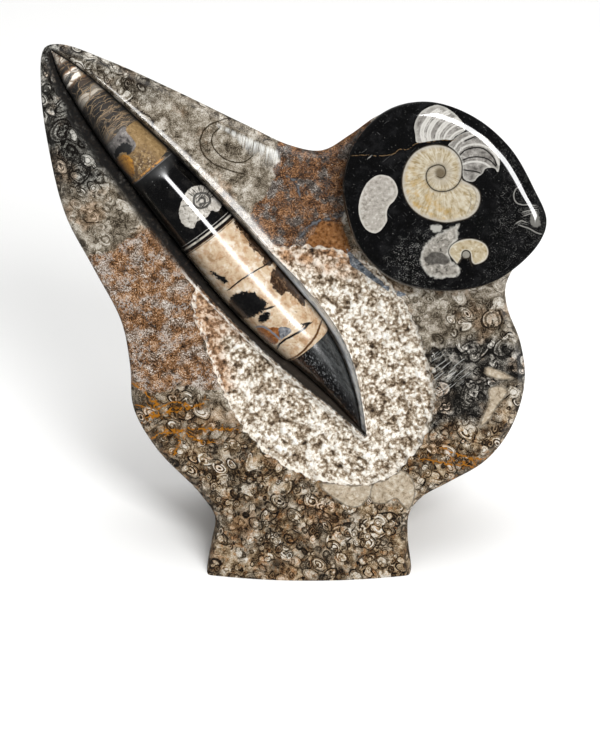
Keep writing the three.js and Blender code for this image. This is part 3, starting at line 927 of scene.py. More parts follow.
discTraces = {
    "suture": [[
        (51.9, 149), (50.3, 146.1), (47.9, 144.4), (45.2, 143.9), (42.5, 144.4), (40.7, 145.9),
        (39.7, 148), (39.7, 150.1), (40.6, 151.8), (42.2, 152.7), (44, 153), (45.6, 152.3),
        (46.2, 150.9), (45.9, 149.3), (44.7, 148.6), (43.6, 149),
    ]],
    "mouth": [
        [(54.2, 144.4), (55.1, 142.2), (55, 139.4), (54.1, 136.6)],
        [(55.7, 145.3), (56.8, 143.2), (56.9, 140.6), (56.1, 138.2)],
    ],
    "fanRibs": [
        [(38.3, 160.7), (37.6, 163.4), (37.9, 165.8), (39.2, 168.1), (41.1, 170.5), (43.2, 171.8)],
        [(39, 160.8), (38.5, 163.4), (38.7, 165.5), (39.9, 167.8), (41.7, 169.9), (44, 171.2)],
        [(40.2, 160.9), (39.8, 163.4), (40.5, 165.7), (42.1, 168.1), (44.4, 169.9), (46.6, 171.1)],
        [(41.1, 161), (40.7, 163.4), (41.3, 165.3), (42.8, 167.6), (45.1, 169.3), (47.4, 170.4)],
        [(42.8, 161.2), (43, 163.4), (44.1, 165.5), (45.7, 167.3), (48, 168.5), (50, 168.8)],
        [(43.8, 161.3), (43.9, 163.3), (44.9, 165), (46.4, 166.7), (48.5, 167.8), (50.7, 168.1)],
        [(45.4, 161.5), (46, 163.3), (47.2, 164.8), (48.9, 166.1), (51.5, 167)],
        [(47.3, 161.6), (48.6, 163.1), (50.1, 164.2), (52.7, 165.2)],
    ],
    "lobeRibs": [
        [(49.3, 158.7), (50.6, 160.5), (52.8, 162), (55.9, 163.1), (58.6, 162.5)],
        [(50.7, 157.2), (51.9, 158.7), (54.7, 159.8), (57.8, 159.9), (60.7, 158.7), (63.2, 156.1),
         (64.4, 153.2)],
        [(52.2, 153.2), (54.3, 153.9), (57.1, 154.1), (59.8, 153.4), (61.4, 152.3)],
    ],
    "lobeLines": [
        [(51.1, 156.3), (52.6, 157.8), (55.2, 158.7), (58.4, 158.7), (60.8, 157.4), (62.7, 155.3),
         (63.8, 153)],
        [(52, 154.6), (54.2, 155.4), (57.1, 155.7), (60, 155.2), (62.2, 153.9), (63.5, 152.4)],
        [(52.1, 151.4), (54.3, 151), (56.7, 150.7), (58.9, 149.8)],
        [(48.2, 161.2), (50.4, 162.8), (52.8, 164.1)],
        [(52.8, 161.1), (54.6, 161.9), (57.1, 163)],
    ],
    "crack": [[
        (14.5, 155.9), (18.7, 156.3), (22.4, 156), (26, 156.3), (28.7, 156.9), (30.2, 158.2),
        (32.9, 158.2), (35, 159.5), (37, 160.5), (40.2, 160.8), (45.4, 161.5), (48.6, 161.1),
        (50.3, 162.4), (52.2, 163.4),
    ]],
    "eye": [
        [(52.3, 121.7), (52.7, 123), (53.8, 123.5), (54.9, 123), (55.3, 121.9), (54.9, 120.9),
         (53.8, 120.6), (52.7, 120.9), (52.3, 121.7)],
        [(52.6, 121.1), (51.7, 119.8), (51, 118.6)],
        [(54.9, 120.9), (55.4, 119.5), (55.9, 118.1)],
    ],
    "paleLines": [
        [(72.1, 145.9), (70.4, 144.3), (69.9, 142.2), (70.9, 140), (72.8, 139.3), (75.4, 139.2),
         (77.3, 138.9)],
        [(72.4, 132.1), (75.6, 131), (77.8, 129.7), (79.7, 128.9)],
        [(73.5, 136.8), (75.5, 137.3), (77.9, 137.5)],
        [(73.9, 135.5), (75.8, 136.1), (77.6, 136.3)],
        [(71.1, 132.9), (72.7, 133.7), (74.3, 133.3)],
        [(20, 155.4), (20.5, 155.8)],
    ],
}


# Stores how deep each point lies inside each outline.
def storeAreas(piece, places, areas):
    for name, corners in areas.items():
        storeField(piece, name, depthInside(places, corners))


# Stores the distances to the lines, with and without the sign of the side.
def storeTraces(piece, places, traces):
    for name, lines in traces.items():
        nearest, signed = traceDistance(places, lines)
        storeField(piece, name, signed)
        storeField(piece, name + "Reach", nearest)


def markStone(piece):
    points = facePoints(piece)
    x, y, height = points.T
    front = height > -slab["markDepth"]
    places = points[:, :2]
    storeAreas(piece, places, stoneAreas)
    storeTraces(piece, places, stoneTraces)
    storeField(piece, "front", front)

    # The pecked look lies in the hollow, below the face and beside the channel.
    inHollow = depthInside(places, hollow["outline"], hollow["outlineSteps"])
    beside = besideChannel(x, y)
    below = -hollow["peckedBelow"] - (height - crestRise(x, y) - faceBow(x, y))
    storeField(piece, "hollowDepth", inHollow)
    storeField(piece, "besideChannel", beside)
    pecks = np.minimum(inHollow + hollow["peckedBeyond"], below * 2)
    pecks = np.minimum(pecks, beside + hollow["peckedIntoChannel"])
    storeField(piece, "pecked", np.where(front, pecks, -1))
    lumps = np.zeros(len(points))
    pecked = (inHollow > -1) & (beside > -1)
    lumps[pecked] = peckRise(x[pecked], y[pecked])
    storeField(piece, "lumps", lumps)

    # A painted shadow of the shell lies in the channel left of it, and a dark joint with painted contact
    # shade lies on its right.
    station, offset = shellPlaces(x, y)
    onLeft = offset < (channelLeft(station) + channelRight(station)) / 2
    low = smoothstep(station, *channel["shadowStations"])
    paintedShadowOnLeft = smoothstep(beside, lerp(*channel["shadowSpread"], low), lerp(*channel["shadowFull"], low))
    darkJointOnRight = smoothstep(offset - shellRight(station), *channel["darkJointReach"])
    storeField(piece, "paintedShadeAndDarkJoint", np.where(onLeft, paintedShadowOnLeft, darkJointOnRight) * front * (station > 0))
    storeField(piece, "downShell", station)
    storeField(piece, "fromEdge", depthInside(places, slab["outline"], slab["outlineSteps"]))
    storeField(piece, "acrossFace", offset)
    wall = smoothstep(beside, *channel["wallMark"])
    storeField(piece, "rightWall", np.where(onLeft | ~front, 0, wall))
    print("slab markings stored")


def markShell(piece):
    points = facePoints(piece)
    station, offset = shellPlaces(points[:, 0], points[:, 1])
    places = np.stack([station, offset], 1)
    storeAreas(piece, places, shellAreas)
    storeTraces(piece, places, shellTraces)
    left, right = shellLeft(station), shellRight(station)
    storeField(piece, "station", station)
    storeField(piece, "offset", offset)
    storeField(piece, "acrossShare", (offset - left) / np.maximum(right - left, 0.3))
    print("shell markings stored")


def markDisc(piece):
    points = facePoints(piece)
    places = points[:, :2]
    storeAreas(piece, places, discAreas)
    storeTraces(piece, places, discTraces)
    print("cabochon markings stored")


making = {}  # holds the node tree that the shader helpers add to


# A shown colour as the surface's own, for the light that falls on the face.
def tone(red, green, blue, share=0.7):
    shares = [value / 255 for value in (red, green, blue)]
    return (*[share * (s / 12.92 if s <= 0.04045 else ((s + 0.055) / 1.055) ** 2.4) for s in shares], 1)


def toneSet(*colours):
    return tuple(tone(*colour) for colour in colours)


# Stops of a colour ramp, each given as its position and its tone.
def toneStops(*rows):
    return [(row[0], tone(*row[1:])) for row in rows]


def feed(socket, value):
    if isinstance(value, bpy.types.NodeSocket):
        making["tree"].links.new(value, socket)
    elif value is not None:
        socket.default_value = value


# Inputs are given by name or by number.
def addNode(kind, inputs=None, **settings):
    node = making["tree"].nodes.new("ShaderNode" + kind)
    for name, value in settings.items():
        setattr(node, name, value)
    for name, value in (inputs or {}).items():
        feed(node.inputs[name], value)
    return node


def calc(operation, first, second=None, third=None):
    return addNode("Math", {0: first, 1: second, 2: third}, operation=operation).outputs[0]


def times(*masks):
    result = masks[0]
    for mask in masks[1:]:
        result = calc("MULTIPLY", result, mask)
    return result


def plus(*values):
    result = values[0]
    for value in values[1:]:
        result = calc("ADD", result, value)
    return result


def minus(first, second):
    return calc("SUBTRACT", first, second)


def apart(first, second):
    return calc("ABSOLUTE", minus(first, second))


def larger(first, second):
    return calc("MAXIMUM", first, second)


def ease(value, low, high, toLow=0.0, toHigh=1.0):
    inputs = {"Value": value, "From Min": low, "From Max": high, "To Min": toLow, "To Max": toHigh}
    return addNode("MapRange", inputs, interpolation_type="SMOOTHSTEP").outputs["Result"]


def mixValues(factor, first, second):
    return addNode("Mix", {0: factor, 2: first, 3: second}, data_type="FLOAT").outputs[0]


def mixColours(factor, first, second, kind="MIX"):
    return addNode("Mix", {0: factor, 6: first, 7: second}, data_type="RGBA", blend_type=kind).outputs[2]


# The colour with an ink over it where all the masks are 1.
def painted(colour, ink, *masks):
    return mixColours(times(*masks), colour, ink)


def multiplied(colour, ink):
    return mixColours(1.0, colour, ink, "MULTIPLY")


def ramp(value, stops):
    node = addNode("ValToRGB", {"Fac": value})
    elements = node.color_ramp.elements
    while len(elements) < len(stops):
        elements.new(0.5)
    for element, (position, colour) in zip(elements, stops):
        element.position = position
        element.color = colour
    return node.outputs["Color"]


def calcVector(operation, first, second=None, scale=None):
    node = addNode("VectorMath", {0: first, 1: second, 3: scale}, operation=operation)
    return node.outputs["Value" if operation == "LENGTH" else "Vector"]


def plusVector(first, second):
    return calcVector("ADD", first, second)


def separated(vector):
    return addNode("SeparateXYZ", {"Vector": vector}).outputs


def combined(x, y=None, z=None):
    return addNode("CombineXYZ", {"X": x, "Y": y, "Z": z}).outputs[0]


def channelsOf(colour):
    return addNode("SeparateColor", {"Color": colour}).outputs


def greyOf(value):
    return addNode("CombineColor", {"Red": value, "Green": value, "Blue": value}).outputs[0]


def mapped(vector, location=None, rotation=None, scale=None):
    inputs = {"Vector": vector, "Location": location, "Rotation": rotation, "Scale": scale}
    return addNode("Mapping", inputs, vector_type="TEXTURE").outputs["Vector"]


# The vector for a pattern stretched along a direction, with the length and width of its grain.
def stretched(vector, turn, length, width):
    return mapped(vector, None, (0, 0, turn), (length, width, 1))


# Face coordinates in mm, from the object's own.
def faceVector():
    place = addNode("TexCoord").outputs["Object"]
    return mapped(place, faceOrigin, (faceTurn, 0, 0), (placing["millimetre"],) * 3)


def shifted(vector, seed):
    return plusVector(vector, (seed, seed * 0.7, seed * 0.3))


def grain(vector, scale, detail=2.0, roughness=0.5, distortion=0.0):
    inputs = {"Vector": vector, "Scale": scale, "Detail": detail, "Roughness": roughness}
    return addNode("TexNoise", {**inputs, "Distortion": distortion}).outputs["Fac"]


# Noise about 0, stretched to the given strength.
def swing(vector, scale, strength, detail=2.0, roughness=0.5):
    return times(minus(grain(vector, scale, detail, roughness), 0.5), strength)


def grainColour(vector, scale, detail=2.0):
    return addNode("TexNoise", {"Vector": vector, "Scale": scale, "Detail": detail}).outputs["Color"]


def warped(vector, scale, reach):
    return plusVector(vector, calcVector("SCALE", grainColour(vector, scale, 3.0), None, reach))


# Distance to the nearest wall between random cells.
def cellWalls(vector, scale):
    inputs = {"Vector": vector, "Scale": scale}
    return addNode("TexVoronoi", inputs, feature="DISTANCE_TO_EDGE").outputs["Distance"]


def fieldValue(name):
    return addNode("Attribute", attribute_name=name).outputs["Fac"]


def newGroup(name, inputs, outputs):
    group = bpy.data.node_groups.new(name, "ShaderNodeTree")
    making["tree"] = group
    kinds = {"value": "NodeSocketFloat", "vector": "NodeSocketVector", "colour": "NodeSocketColor"}
    for side, sockets in (("INPUT", inputs), ("OUTPUT", outputs)):
        for label, kind in sockets.items():
            group.interface.new_socket(label, in_out=side, socket_type=kinds[kind])
    return group, group.nodes.new("NodeGroupInput").outputs, group.nodes.new("NodeGroupOutput").inputs


def useGroup(group, inputs):
    return addNode("Group", inputs, node_tree=group).outputs


def newMaterial(name):
    material = bpy.data.materials.new(name)
    material.use_nodes = True
    making["tree"] = material.node_tree
    return material, material.node_tree.nodes["Principled BSDF"].inputs


# Sections through coiled and round shells: outlines, fillings, cores and a tone for each shell.
def makeShellSections():
    group, given, made = newGroup(
        "shellSections",
        {"Vector": "vector", "Cell": "value", "Seed": "value", "Width": "value", "Warp": "value"},
        {"Lines": "value", "Fill": "value", "Tone": "value", "Core": "value", "Gap": "value"},
    )
    seeded = plusVector(given["Vector"], combined(given["Seed"], None, given["Seed"]))
    perCell = calc("DIVIDE", 1.0, given["Cell"])
    wobble = grainColour(seeded, times(perCell, 0.8), 1.5)
    wobble = calcVector("SUBTRACT", wobble, (0.5, 0.5, 0.5))
    wobble = calcVector("SCALE", wobble, None, times(given["Warp"], given["Cell"]))
    place = plusVector(seeded, wobble)
    cells = addNode("TexVoronoi", {"Vector": place, "Scale": perCell, "Randomness": 1.0}).outputs
    chance = channelsOf(cells["Color"])
    radius = ease(chance[0], 0.0, 1.0, 0.3, 0.6)
    distance = cells["Distance"]
    width = times(given["Width"], perCell)

    def line(value, strength=1.0):
        near = calc("DIVIDE", calc("ABSOLUTE", value), width)
        return times(ease(near, 1.3, 0.5), strength)

    past = minus(distance, radius)
    outline = line(past)
    inside = ease(past, 0.0, -0.03)
    twin = times(line(plus(past, 0.1), 0.6), calc("GREATER_THAN", chance[0], 0.4))
    # A spiral about the shell's middle, for some of the shells.
    arm = separated(calcVector("SUBTRACT", place, cells["Position"]))
    angle = calc("DIVIDE", calc("ARCTAN2", arm[1], arm[0]), 2 * math.pi)
    growth = calc("LOGARITHM", calc("MULTIPLY_ADD", distance, 6.0, 1.0), 1.9)
    phase = calc("FRACT", plus(growth, times(angle, -1.0), chance[1]))
    pitch = calc("MULTIPLY_ADD", distance, 0.64, 0.1)
    spiral = line(times(minus(phase, 0.5), pitch), 0.9)
    spiral = times(spiral, calc("LESS_THAN", chance[2], 0.3))
    ring = line(minus(distance, times(radius, 0.5)), 0.85)
    ring = times(ring, calc("GREATER_THAN", chance[2], 0.7))
    core = times(ease(distance, 0.15, 0.09), calc("GREATER_THAN", chance[1], 0.7))
    whorls = times(larger(larger(spiral, ring), twin), inside)
    kept = calc("GREATER_THAN", chance[1], 0.12)
    bold = ease(chance[1], 0.4, 0.9, 0.5, 1.0)
    feed(made["Lines"], times(larger(outline, whorls), kept, bold))
    feed(made["Fill"], times(inside, kept))
    feed(made["Tone"], chance[2])
    feed(made["Core"], times(core, kept))
    feed(made["Gap"], times(ease(past, 0.0, 0.03), ease(past, 0.22, 0.04), kept))
    return group


# A mottled stone of three tones.
def makeMottle():
    group, given, made = newGroup(
        "mottle",
        {"Vector": "vector", "Scale": "value", "Dark": "colour", "Middle": "colour", "Light": "colour"},
        {"Color": "colour"},
    )
    coarse = grain(given["Vector"], given["Scale"], 6.0, 0.66, 0.4)
    colour = painted(given["Middle"], given["Dark"], ease(coarse, 0.49, 0.34))
    feed(made["Color"], painted(colour, given["Light"], ease(coarse, 0.5, 0.66)))
    return group


# A mask with a ragged edge from a distance field: 1 inside.
def makeRagged():
    group, given, made = newGroup(
        "raggedMask",
        {"Vector": "vector", "Depth": "value", "Ragged": "value", "Pitch": "value", "Soft": "value"},
        {"Mask": "value"},
    )
    scale = calc("DIVIDE", 1.0, given["Pitch"])
    wander = swing(given["Vector"], scale, times(given["Ragged"], 3.0), 4.0, 0.65)
    depth = plus(given["Depth"], wander)
    feed(made["Mask"], ease(depth, times(given["Soft"], -1.0), given["Soft"]))
    return group


# A thin line from a signed distance and its reach: 1 on the line.
def makeThinLine():
    group, given, made = newGroup(
        "thinLine",
        {"Vector": "vector", "Signed": "value", "Reach": "value", "Width": "value", "Wander": "value"},
        {"Mask": "value"},
    )
    wander = swing(given["Vector"], 0.7, times(given["Wander"], 4.0), 3.0)
    off = calc("ABSOLUTE", plus(given["Signed"], wander))
    on = ease(calc("DIVIDE", off, given["Width"]), 1.5, 0.5)
    past = minus(given["Reach"], plus(given["Width"], given["Wander"]))
    feed(made["Mask"], times(on, ease(past, 0.9, 0.4)))
    return group


shellSections = makeShellSections()
mottle = makeMottle()
raggedMask = makeRagged()
thinLine = makeThinLine()
print("shared shader groups built")


# The mask of a stored area, with the reach and pitch of its ragged edge.
def maskOf(vector, name, ragged=0.6, pitch=1.5, soft=0.15):
    inputs = {"Vector": vector, "Depth": fieldValue(name), "Ragged": ragged, "Pitch": pitch, "Soft": soft}
    return useGroup(raggedMask, inputs)["Mask"]


def lineOf(vector, name, width, wander=0.0):
    inputs = {"Vector": vector, "Signed": fieldValue(name), "Reach": fieldValue(name + "Reach")}
    return useGroup(thinLine, {**inputs, "Width": width, "Wander": wander})["Mask"]


def mottled(vector, scale, dark, middle, light):
    inputs = {"Vector": vector, "Scale": scale, "Dark": dark, "Middle": middle, "Light": light}
    return useGroup(mottle, inputs)["Color"]


# The look of the fossil limestone.
stoneLook = {
    # dark, middle and light tones of each part of the slab
    "plain": toneSet((70, 61, 49), (140, 129, 112), (206, 198, 184)),
    "darkTip": toneSet((26, 25, 22), (94, 92, 86), (186, 184, 176)),
    "darkRight": toneSet((16, 15, 13), (62, 59, 54), (164, 159, 150)),
    "base": toneSet((54, 39, 24), (128, 106, 78), (198, 178, 148)),
    "orange": toneSet((78, 48, 20), (146, 100, 56), (206, 164, 118)),
    # the facet's blue-grey is a painted reflection on its polish
    "facet": toneSet((66, 72, 80), (124, 132, 142), (204, 210, 216)),
    "creamShell": toneSet((146, 128, 104), (200, 184, 160), (234, 223, 204)),
    "brownPatch": toneSet((74, 46, 22), (132, 84, 40), (170, 124, 76)),
    "ink": tone(18, 15, 12),
    "chalk": tone(236, 231, 222),
    # heights on the face, in mm, over which the stone turns brown and orange towards its foot
    "brownFoot": (84.0, 54.0),
    "orangeFoot": (72.0, 46.0),
    # size of the shells, seed, line width, fill, ink, how much of the face they cover, turn and stretch
    "shells": (
        (9.4, 3.0, 0.32, 0.6, 0.9, 0.45, 0.5, 1.2),
        (5.2, 41.0, 0.28, 0.75, 0.95, 0.47, -0.7, 1.25),
        (2.8, 87.0, 0.2, 0.7, 0.85, 0.52, 1.3, 1.15),
    ),
    "rustSpeckled": toneStops(
        (0.0, 30, 21, 14), (0.28, 98, 75, 55), (0.48, 158, 136, 116), (0.68, 212, 202, 192),
        (0.86, 250, 246, 240),
    ),
    "rustBrown": toneStops(
        (0.0, 26, 16, 8), (0.28, 88, 59, 34), (0.5, 146, 102, 64), (0.74, 194, 152, 112),
        (0.94, 244, 230, 212),
    ),
    "rustPeach": toneStops(
        (0.0, 62, 44, 30), (0.25, 112, 82, 56), (0.45, 176, 134, 98), (0.65, 236, 198, 160),
    ),
    "rustOrange": toneStops((0.0, 16, 9, 5), (0.3, 66, 42, 25), (0.55, 122, 80, 46), (0.85, 186, 142, 102)),
    "rustGrey": toneStops((0.0, 20, 18, 16), (0.35, 72, 62, 54), (0.6, 112, 102, 95), (0.9, 186, 180, 172)),
    # the crust from painted shade in its pits up to its white tops
    "crustAndPaintedShade": toneStops(
        (0.0, 52, 39, 28), (0.18, 112, 91, 68), (0.34, 176, 156, 130), (0.48, 226, 211, 190),
        (0.62, 255, 248, 236, 0.85), (0.8, 255, 253, 247, 0.95),
    ),
    "peach": tone(250, 206, 166),
    "veinGold": tone(172, 110, 28),
    "veinStain": tone(62, 42, 18),
    # tones of the painted shadow in the channel and of the dark joint, high up and low down
    "shadeAndJointHigh": tone(8, 7, 6),
    "shadeAndJointLow": tone(46, 38, 29),
    # the pale streaks of painted reflection on the right wall of the channel
    "paintedWallSheen": tone(240, 244, 248, 0.9),
    "polish": 0.17,
    "rustRoughness": 0.4,
    "crustRoughness": 0.95,
    "shadeAndJointRoughness": 1.0,
    "edgeRoughness": 0.55,
    "ior": 1.48,
    # height of the fine relief in mm, on the polished stone and in the crust
    "polishRelief": 0.008,
    "crustRelief": 0.75,
}


# How light the stone is at each place, from 0 to 1, and the outlines of its shells.
def stoneShade(place, busy, crowded):
    shade = plus(0.53, swing(place, 0.2, 2.5, 8.0, 0.7))
    fine = swing(place, 1.5, 1.4, 4.0, 0.6)
    drawn = 0.0
    for cell, seed, width, fill, ink, cover, turn, stretch in stoneLook["shells"]:
        turned = stretched(place, turn, stretch, 1 / stretch)
        inputs = {"Vector": turned, "Cell": cell, "Seed": seed, "Width": width, "Warp": 0.5}
        shells = useGroup(shellSections, inputs)
        spread = plus(grain(shifted(place, seed), 0.9 / cell, 2.0), times(crowded, 0.09))
        here = times(ease(spread, cover - 0.05, cover + 0.03), busy)
        filled = plus(calc("MULTIPLY_ADD", shells["Tone"], 0.9, 0.33), fine)
        shade = mixValues(times(shells["Fill"], here, fill), shade, filled)
        shade = mixValues(times(shells["Gap"], here, 0.25), shade, 0.15)
        lines = times(larger(shells["Lines"], shells["Core"]), here, ink)
        shade = mixValues(lines, shade, 0.0)
        drawn = larger(drawn, lines)
    return plus(shade, swing(place, 2.6, 1.1, 2.0, 0.7)), drawn


# From ink through the three tones of the zone to chalk, by the shade.
def zoneColour(shade, zone):
    dark, middle, light = stoneLook[zone]
    ink, chalk = stoneLook["ink"], stoneLook["chalk"]
    return ramp(shade, [(0.0, ink), (0.24, dark), (0.5, middle), (0.78, light), (1.0, chalk)])


# The unrusted stone, from the brown foot to the dark tip, and the outlines of its shells.
def plainStone(place, front):
    height = separated(place)[1]
    tip = maskOf(place, "darkTip", 4.0, 9.0, 5.0)
    tip = times(tip, ease(fieldValue("acrossFace"), 2.0, 10.0, 1.0, 0.45))
    darkRight = maskOf(place, "darkRight", 3.0, 6.0, 3.0)
    quiet = maskOf(place, "quiet", 3.0, 8.0, 3.0)
    middling = ease(apart(height, 122.0), 30.0, 14.0)
    busy = times(ease(quiet, 0.0, 1.0, 1.0, 0.22), ease(middling, 0.0, 1.0, 1.0, 0.6))
    crowded = larger(tip, ease(height, 66.0, 50.0))
    shade, drawn = stoneShade(place, busy, crowded)
    shade = mixValues(times(lineOf(place, "arcs", 0.24, 0.12), front, 0.7), shade, 0.05)

    low = plus(height, swing(place, 0.045, 60.0))
    colour = zoneColour(shade, "plain")
    patches = ease(grain(place, 0.16, 4.0, 0.6), 0.4, 0.58, 0.25, 1.0)
    brownish = times(ease(low, *stoneLook["brownFoot"]), patches)
    colour = painted(colour, zoneColour(shade, "base"), brownish)
    orange = ease(grain(shifted(place, 23.0), 0.4, 5.0, 0.75), 0.53, 0.61)
    orange = times(orange, ease(low, *stoneLook["orangeFoot"]), minus(1.0, drawn), 0.75)
    colour = painted(colour, zoneColour(shade, "orange"), orange)
    colour = painted(colour, zoneColour(shade, "darkTip"), tip)
    colour = painted(colour, zoneColour(shade, "darkRight"), darkRight)
    stain = ease(grain(shifted(place, 13.0), 0.09, 4.0, 0.6), 0.52, 0.64)
    colour = painted(colour, multiplied(colour, tone(240, 196, 150, 1)), stain, 0.45)
    return colour, drawn


# Large pale shells with dark outlines.
def paleShells(colour, place):
    for name in ("creamShellLeft", "creamShellRight", "paleBand", "paleBlot"):
        pale = mottled(place, 0.6, *stoneLook["creamShell"])
        edge = ease(apart(fieldValue(name), 0.2), 0.45, 0.15)
        colour = painted(colour, pale, maskOf(place, name, 0.4, 2.0, 0.3), 0.85)
        colour = painted(colour, stoneLook["ink"], edge, 0.5)
    return colour


# Rust of two kinds in patches, with thin pale threads that gather in places.
def rustColour(place, drawn, threaded, speckled, brown):
    broad = swing(place, 0.3, 1.2, 3.0, 0.6)
    shade = plus(0.46, broad, swing(place, 1.4, 1.8, 5.0, 0.8), swing(place, 2.6, 1.7, 1.0))
    shade = minus(shade, times(drawn, 0.28))
    patches = ease(grain(place, 0.17, 4.0, 0.62), 0.49, 0.6)
    colour = painted(ramp(shade, stoneLook[brown]), ramp(shade, stoneLook[speckled]), patches)
    threads = ease(cellWalls(warped(place, 0.8, 3.0), 0.62), 0.13, 0.02)
    gathered = ease(grain(shifted(place, 17.0), 0.24, 4.0, 0.6), 0.48, 0.6)
    return painted(colour, tone(214, 206, 198), threads, gathered, threaded)


# Rust on both sides of the shell, with pale and grey patches, and where it is.
def rustyStone(colour, place, drawn):
    left = maskOf(place, "rustLeft", 2.0, 5.0, 0.7)
    centre = maskOf(place, "rustCentre", 1.6, 4.0, 0.5)
    colour = painted(colour, rustColour(place, drawn, 0.7, "rustSpeckled", "rustBrown"), left)
    colour = painted(colour, rustColour(place, drawn, 0.1, "rustGrey", "rustOrange"), centre)
    whites = ease(grain(shifted(place, 5.0), 0.8, 3.0, 0.6), 0.66, 0.74)
    colour = painted(colour, tone(206, 190, 172), centre, whites, 0.8)
    brown = maskOf(place, "brownPatch", 0.6, 2.0, 0.4)
    colour = painted(colour, mottled(place, 0.8, *stoneLook["brownPatch"]), brown)
    broken = ease(grain(place, 0.5, 3.0), 0.4, 0.52)
    colour = painted(colour, tone(30, 30, 33), lineOf(place, "greyVeins", 0.9, 0.6), broken, 0.8)
    colour = painted(colour, tone(100, 102, 106), lineOf(place, "greyVeins", 0.4, 0.6), broken)
    return colour, larger(left, centre)


# Gold veins with a dark stain about them.
def goldVeins(colour, place):
    stain = times(ease(fieldValue("veinsReach"), 3.4, 0.3), ease(grain(place, 0.34, 4.0, 0.6), 0.44, 0.58))
    colour = painted(colour, stoneLook["veinStain"], stain, 0.7)
    gold = times(lineOf(place, "veins", 0.3, 0.6), ease(grain(place, 0.6, 3.0), 0.38, 0.5))
    flecks = times(stain, ease(grain(shifted(place, 31.0), 0.7, 3.0, 0.6), 0.56, 0.62))
    return painted(colour, stoneLook["veinGold"], larger(gold, times(flecks, 0.8)))


# A painted glare near the saddle, combed as if by fine ripples, and the scores of the grinding on the
# right.
def polishMarks(colour, place, front):
    combed = ease(grain(stretched(place, 1.4, 7.0, 0.5), 1.0, 2.0, 0.6), 0.4, 0.56, 0.2, 1.0)
    fading = ease(fieldValue("glareTopReach"), 5.5, 0.3, 0.12, 1.0)
    glare = times(maskOf(place, "glare", 0.5, 2.5, 0.9), combed, front, fading)
    colour = painted(colour, tone(236, 237, 234, 0.9), glare, 0.85)
    scores = ease(grain(stretched(place, 0.65, 6.0, 0.45), 1.0, 1.0, 0.5), 0.58, 0.66)
    ground = maskOf(place, "grinding", 2.0, 3.0, 1.5)
    return painted(colour, tone(206, 206, 202), scores, ground, front, 0.75)


# The channel: low on the right its wall is painted light, with streaks of painted bluish reflection, and on
# its left lies a painted shadow of the shell.
def channelWalls(colour, place):
    station = fieldValue("downShell")
    # Low on the right the wall is painted light, with streaks of painted bluish reflection.
    wall = times(fieldValue("rightWall"), ease(station, 92.0, 112.0))
    streaked = stretched(place, math.atan2(downShell[1], downShell[0]), 8.0, 0.7)
    streaks = ease(grain(streaked, 1.0, 3.0, 0.6), 0.36, 0.62)
    colour = painted(colour, painted(tone(186, 190, 194), stoneLook["paintedWallSheen"], streaks), wall, 0.95)
    # Painted shadow of the shell on the left, black high up and browner low down, and the dark joint with
    # painted shade on the right.
    shadeAndJointTone = painted(stoneLook["shadeAndJointHigh"], stoneLook["shadeAndJointLow"], ease(station, 82.0, 118.0))
    shadeAndJointTone = painted(shadeAndJointTone, tone(46, 36, 26), ease(grain(place, 0.9, 4.0, 0.65), 0.42, 0.68, 0.0, 0.5))
    paintedShadeAndDarkJoint = times(fieldValue("paintedShadeAndDarkJoint"), ease(grain(place, 0.5, 4.0, 0.6), 0.2, 0.5, 0.82, 1.0))
    return painted(colour, shadeAndJointTone, paintedShadeAndDarkJoint), paintedShadeAndDarkJoint


# The broken stone, toned by how high it stands: whiter tops and darker pits, partly its own white crumbs
# and partly painted shade. It is peach-coloured beside the rust.
def crustColour(place, chips):
    lumps = calc("MULTIPLY_ADD", fieldValue("lumps"), 0.26, 0.58)
    rise = plus(lumps, chips, swing(place, 0.8, 1.5, 5.0, 0.68), swing(place, 0.16, 0.6, 2.0))
    crustAndPaintedShade = ramp(rise, stoneLook["crustAndPaintedShade"])
    nearRust = ease(larger(fieldValue("rustLeft"), fieldValue("rustCentre")), -9.0, -1.0)
    warm = times(nearRust, ease(grain(place, 0.3, 3.0), 0.4, 0.6, 0.35, 1.0))
    crustAndPaintedShade = painted(crustAndPaintedShade, multiplied(crustAndPaintedShade, stoneLook["peach"]), warm)
    scraped = times(maskOf(place, "scraped", 5.0, 3.5, 2.5), ease(rise, 0.7, 0.45, 0.45, 0.95))
    crustAndPaintedShade = painted(crustAndPaintedShade, ramp(rise, stoneLook["rustPeach"]), scraped)
    # The outer rim is the whitest: broken white stone with a painted highlight.
    rim = calc("ABSOLUTE", plus(fieldValue("hollowDepth"), swing(place, 0.5, 2.4, 3.0), -0.5))
    rim = times(ease(rim, 1.3, 0.3), ease(grain(place, 0.7, 3.0), 0.4, 0.56))
    return painted(crustAndPaintedShade, tone(255, 249, 238, 0.92), rim, 0.85)


# A pale ridge along both rims of the channel: chipped white stone with a painted highlight. It is wider and
# further out low on the right.
def paleRidgeAndHighlight(colour, place, front):
    station = fieldValue("downShell")
    onRight = ease(fieldValue("acrossFace"), 0.0, 3.0)
    outwards = mixValues(onRight, -0.9, ease(station, 100.0, 125.0, 0.1, 0.7))
    away = calc("ABSOLUTE", plus(fieldValue("besideChannel"), swing(place, 0.8, 0.9, 3.0), outwards))
    highlightedRidge = ease(away, mixValues(onRight, 0.5, 1.3), 0.25)
    broken = ease(grain(shifted(place, 3.0), 0.5, 3.0), 0.4, 0.56, 0.3, 0.95)
    highlightedRidge = times(highlightedRidge, front, ease(station, 84.0, 98.0), broken)
    return painted(colour, tone(255, 251, 243, 0.95), highlightedRidge, 0.9)


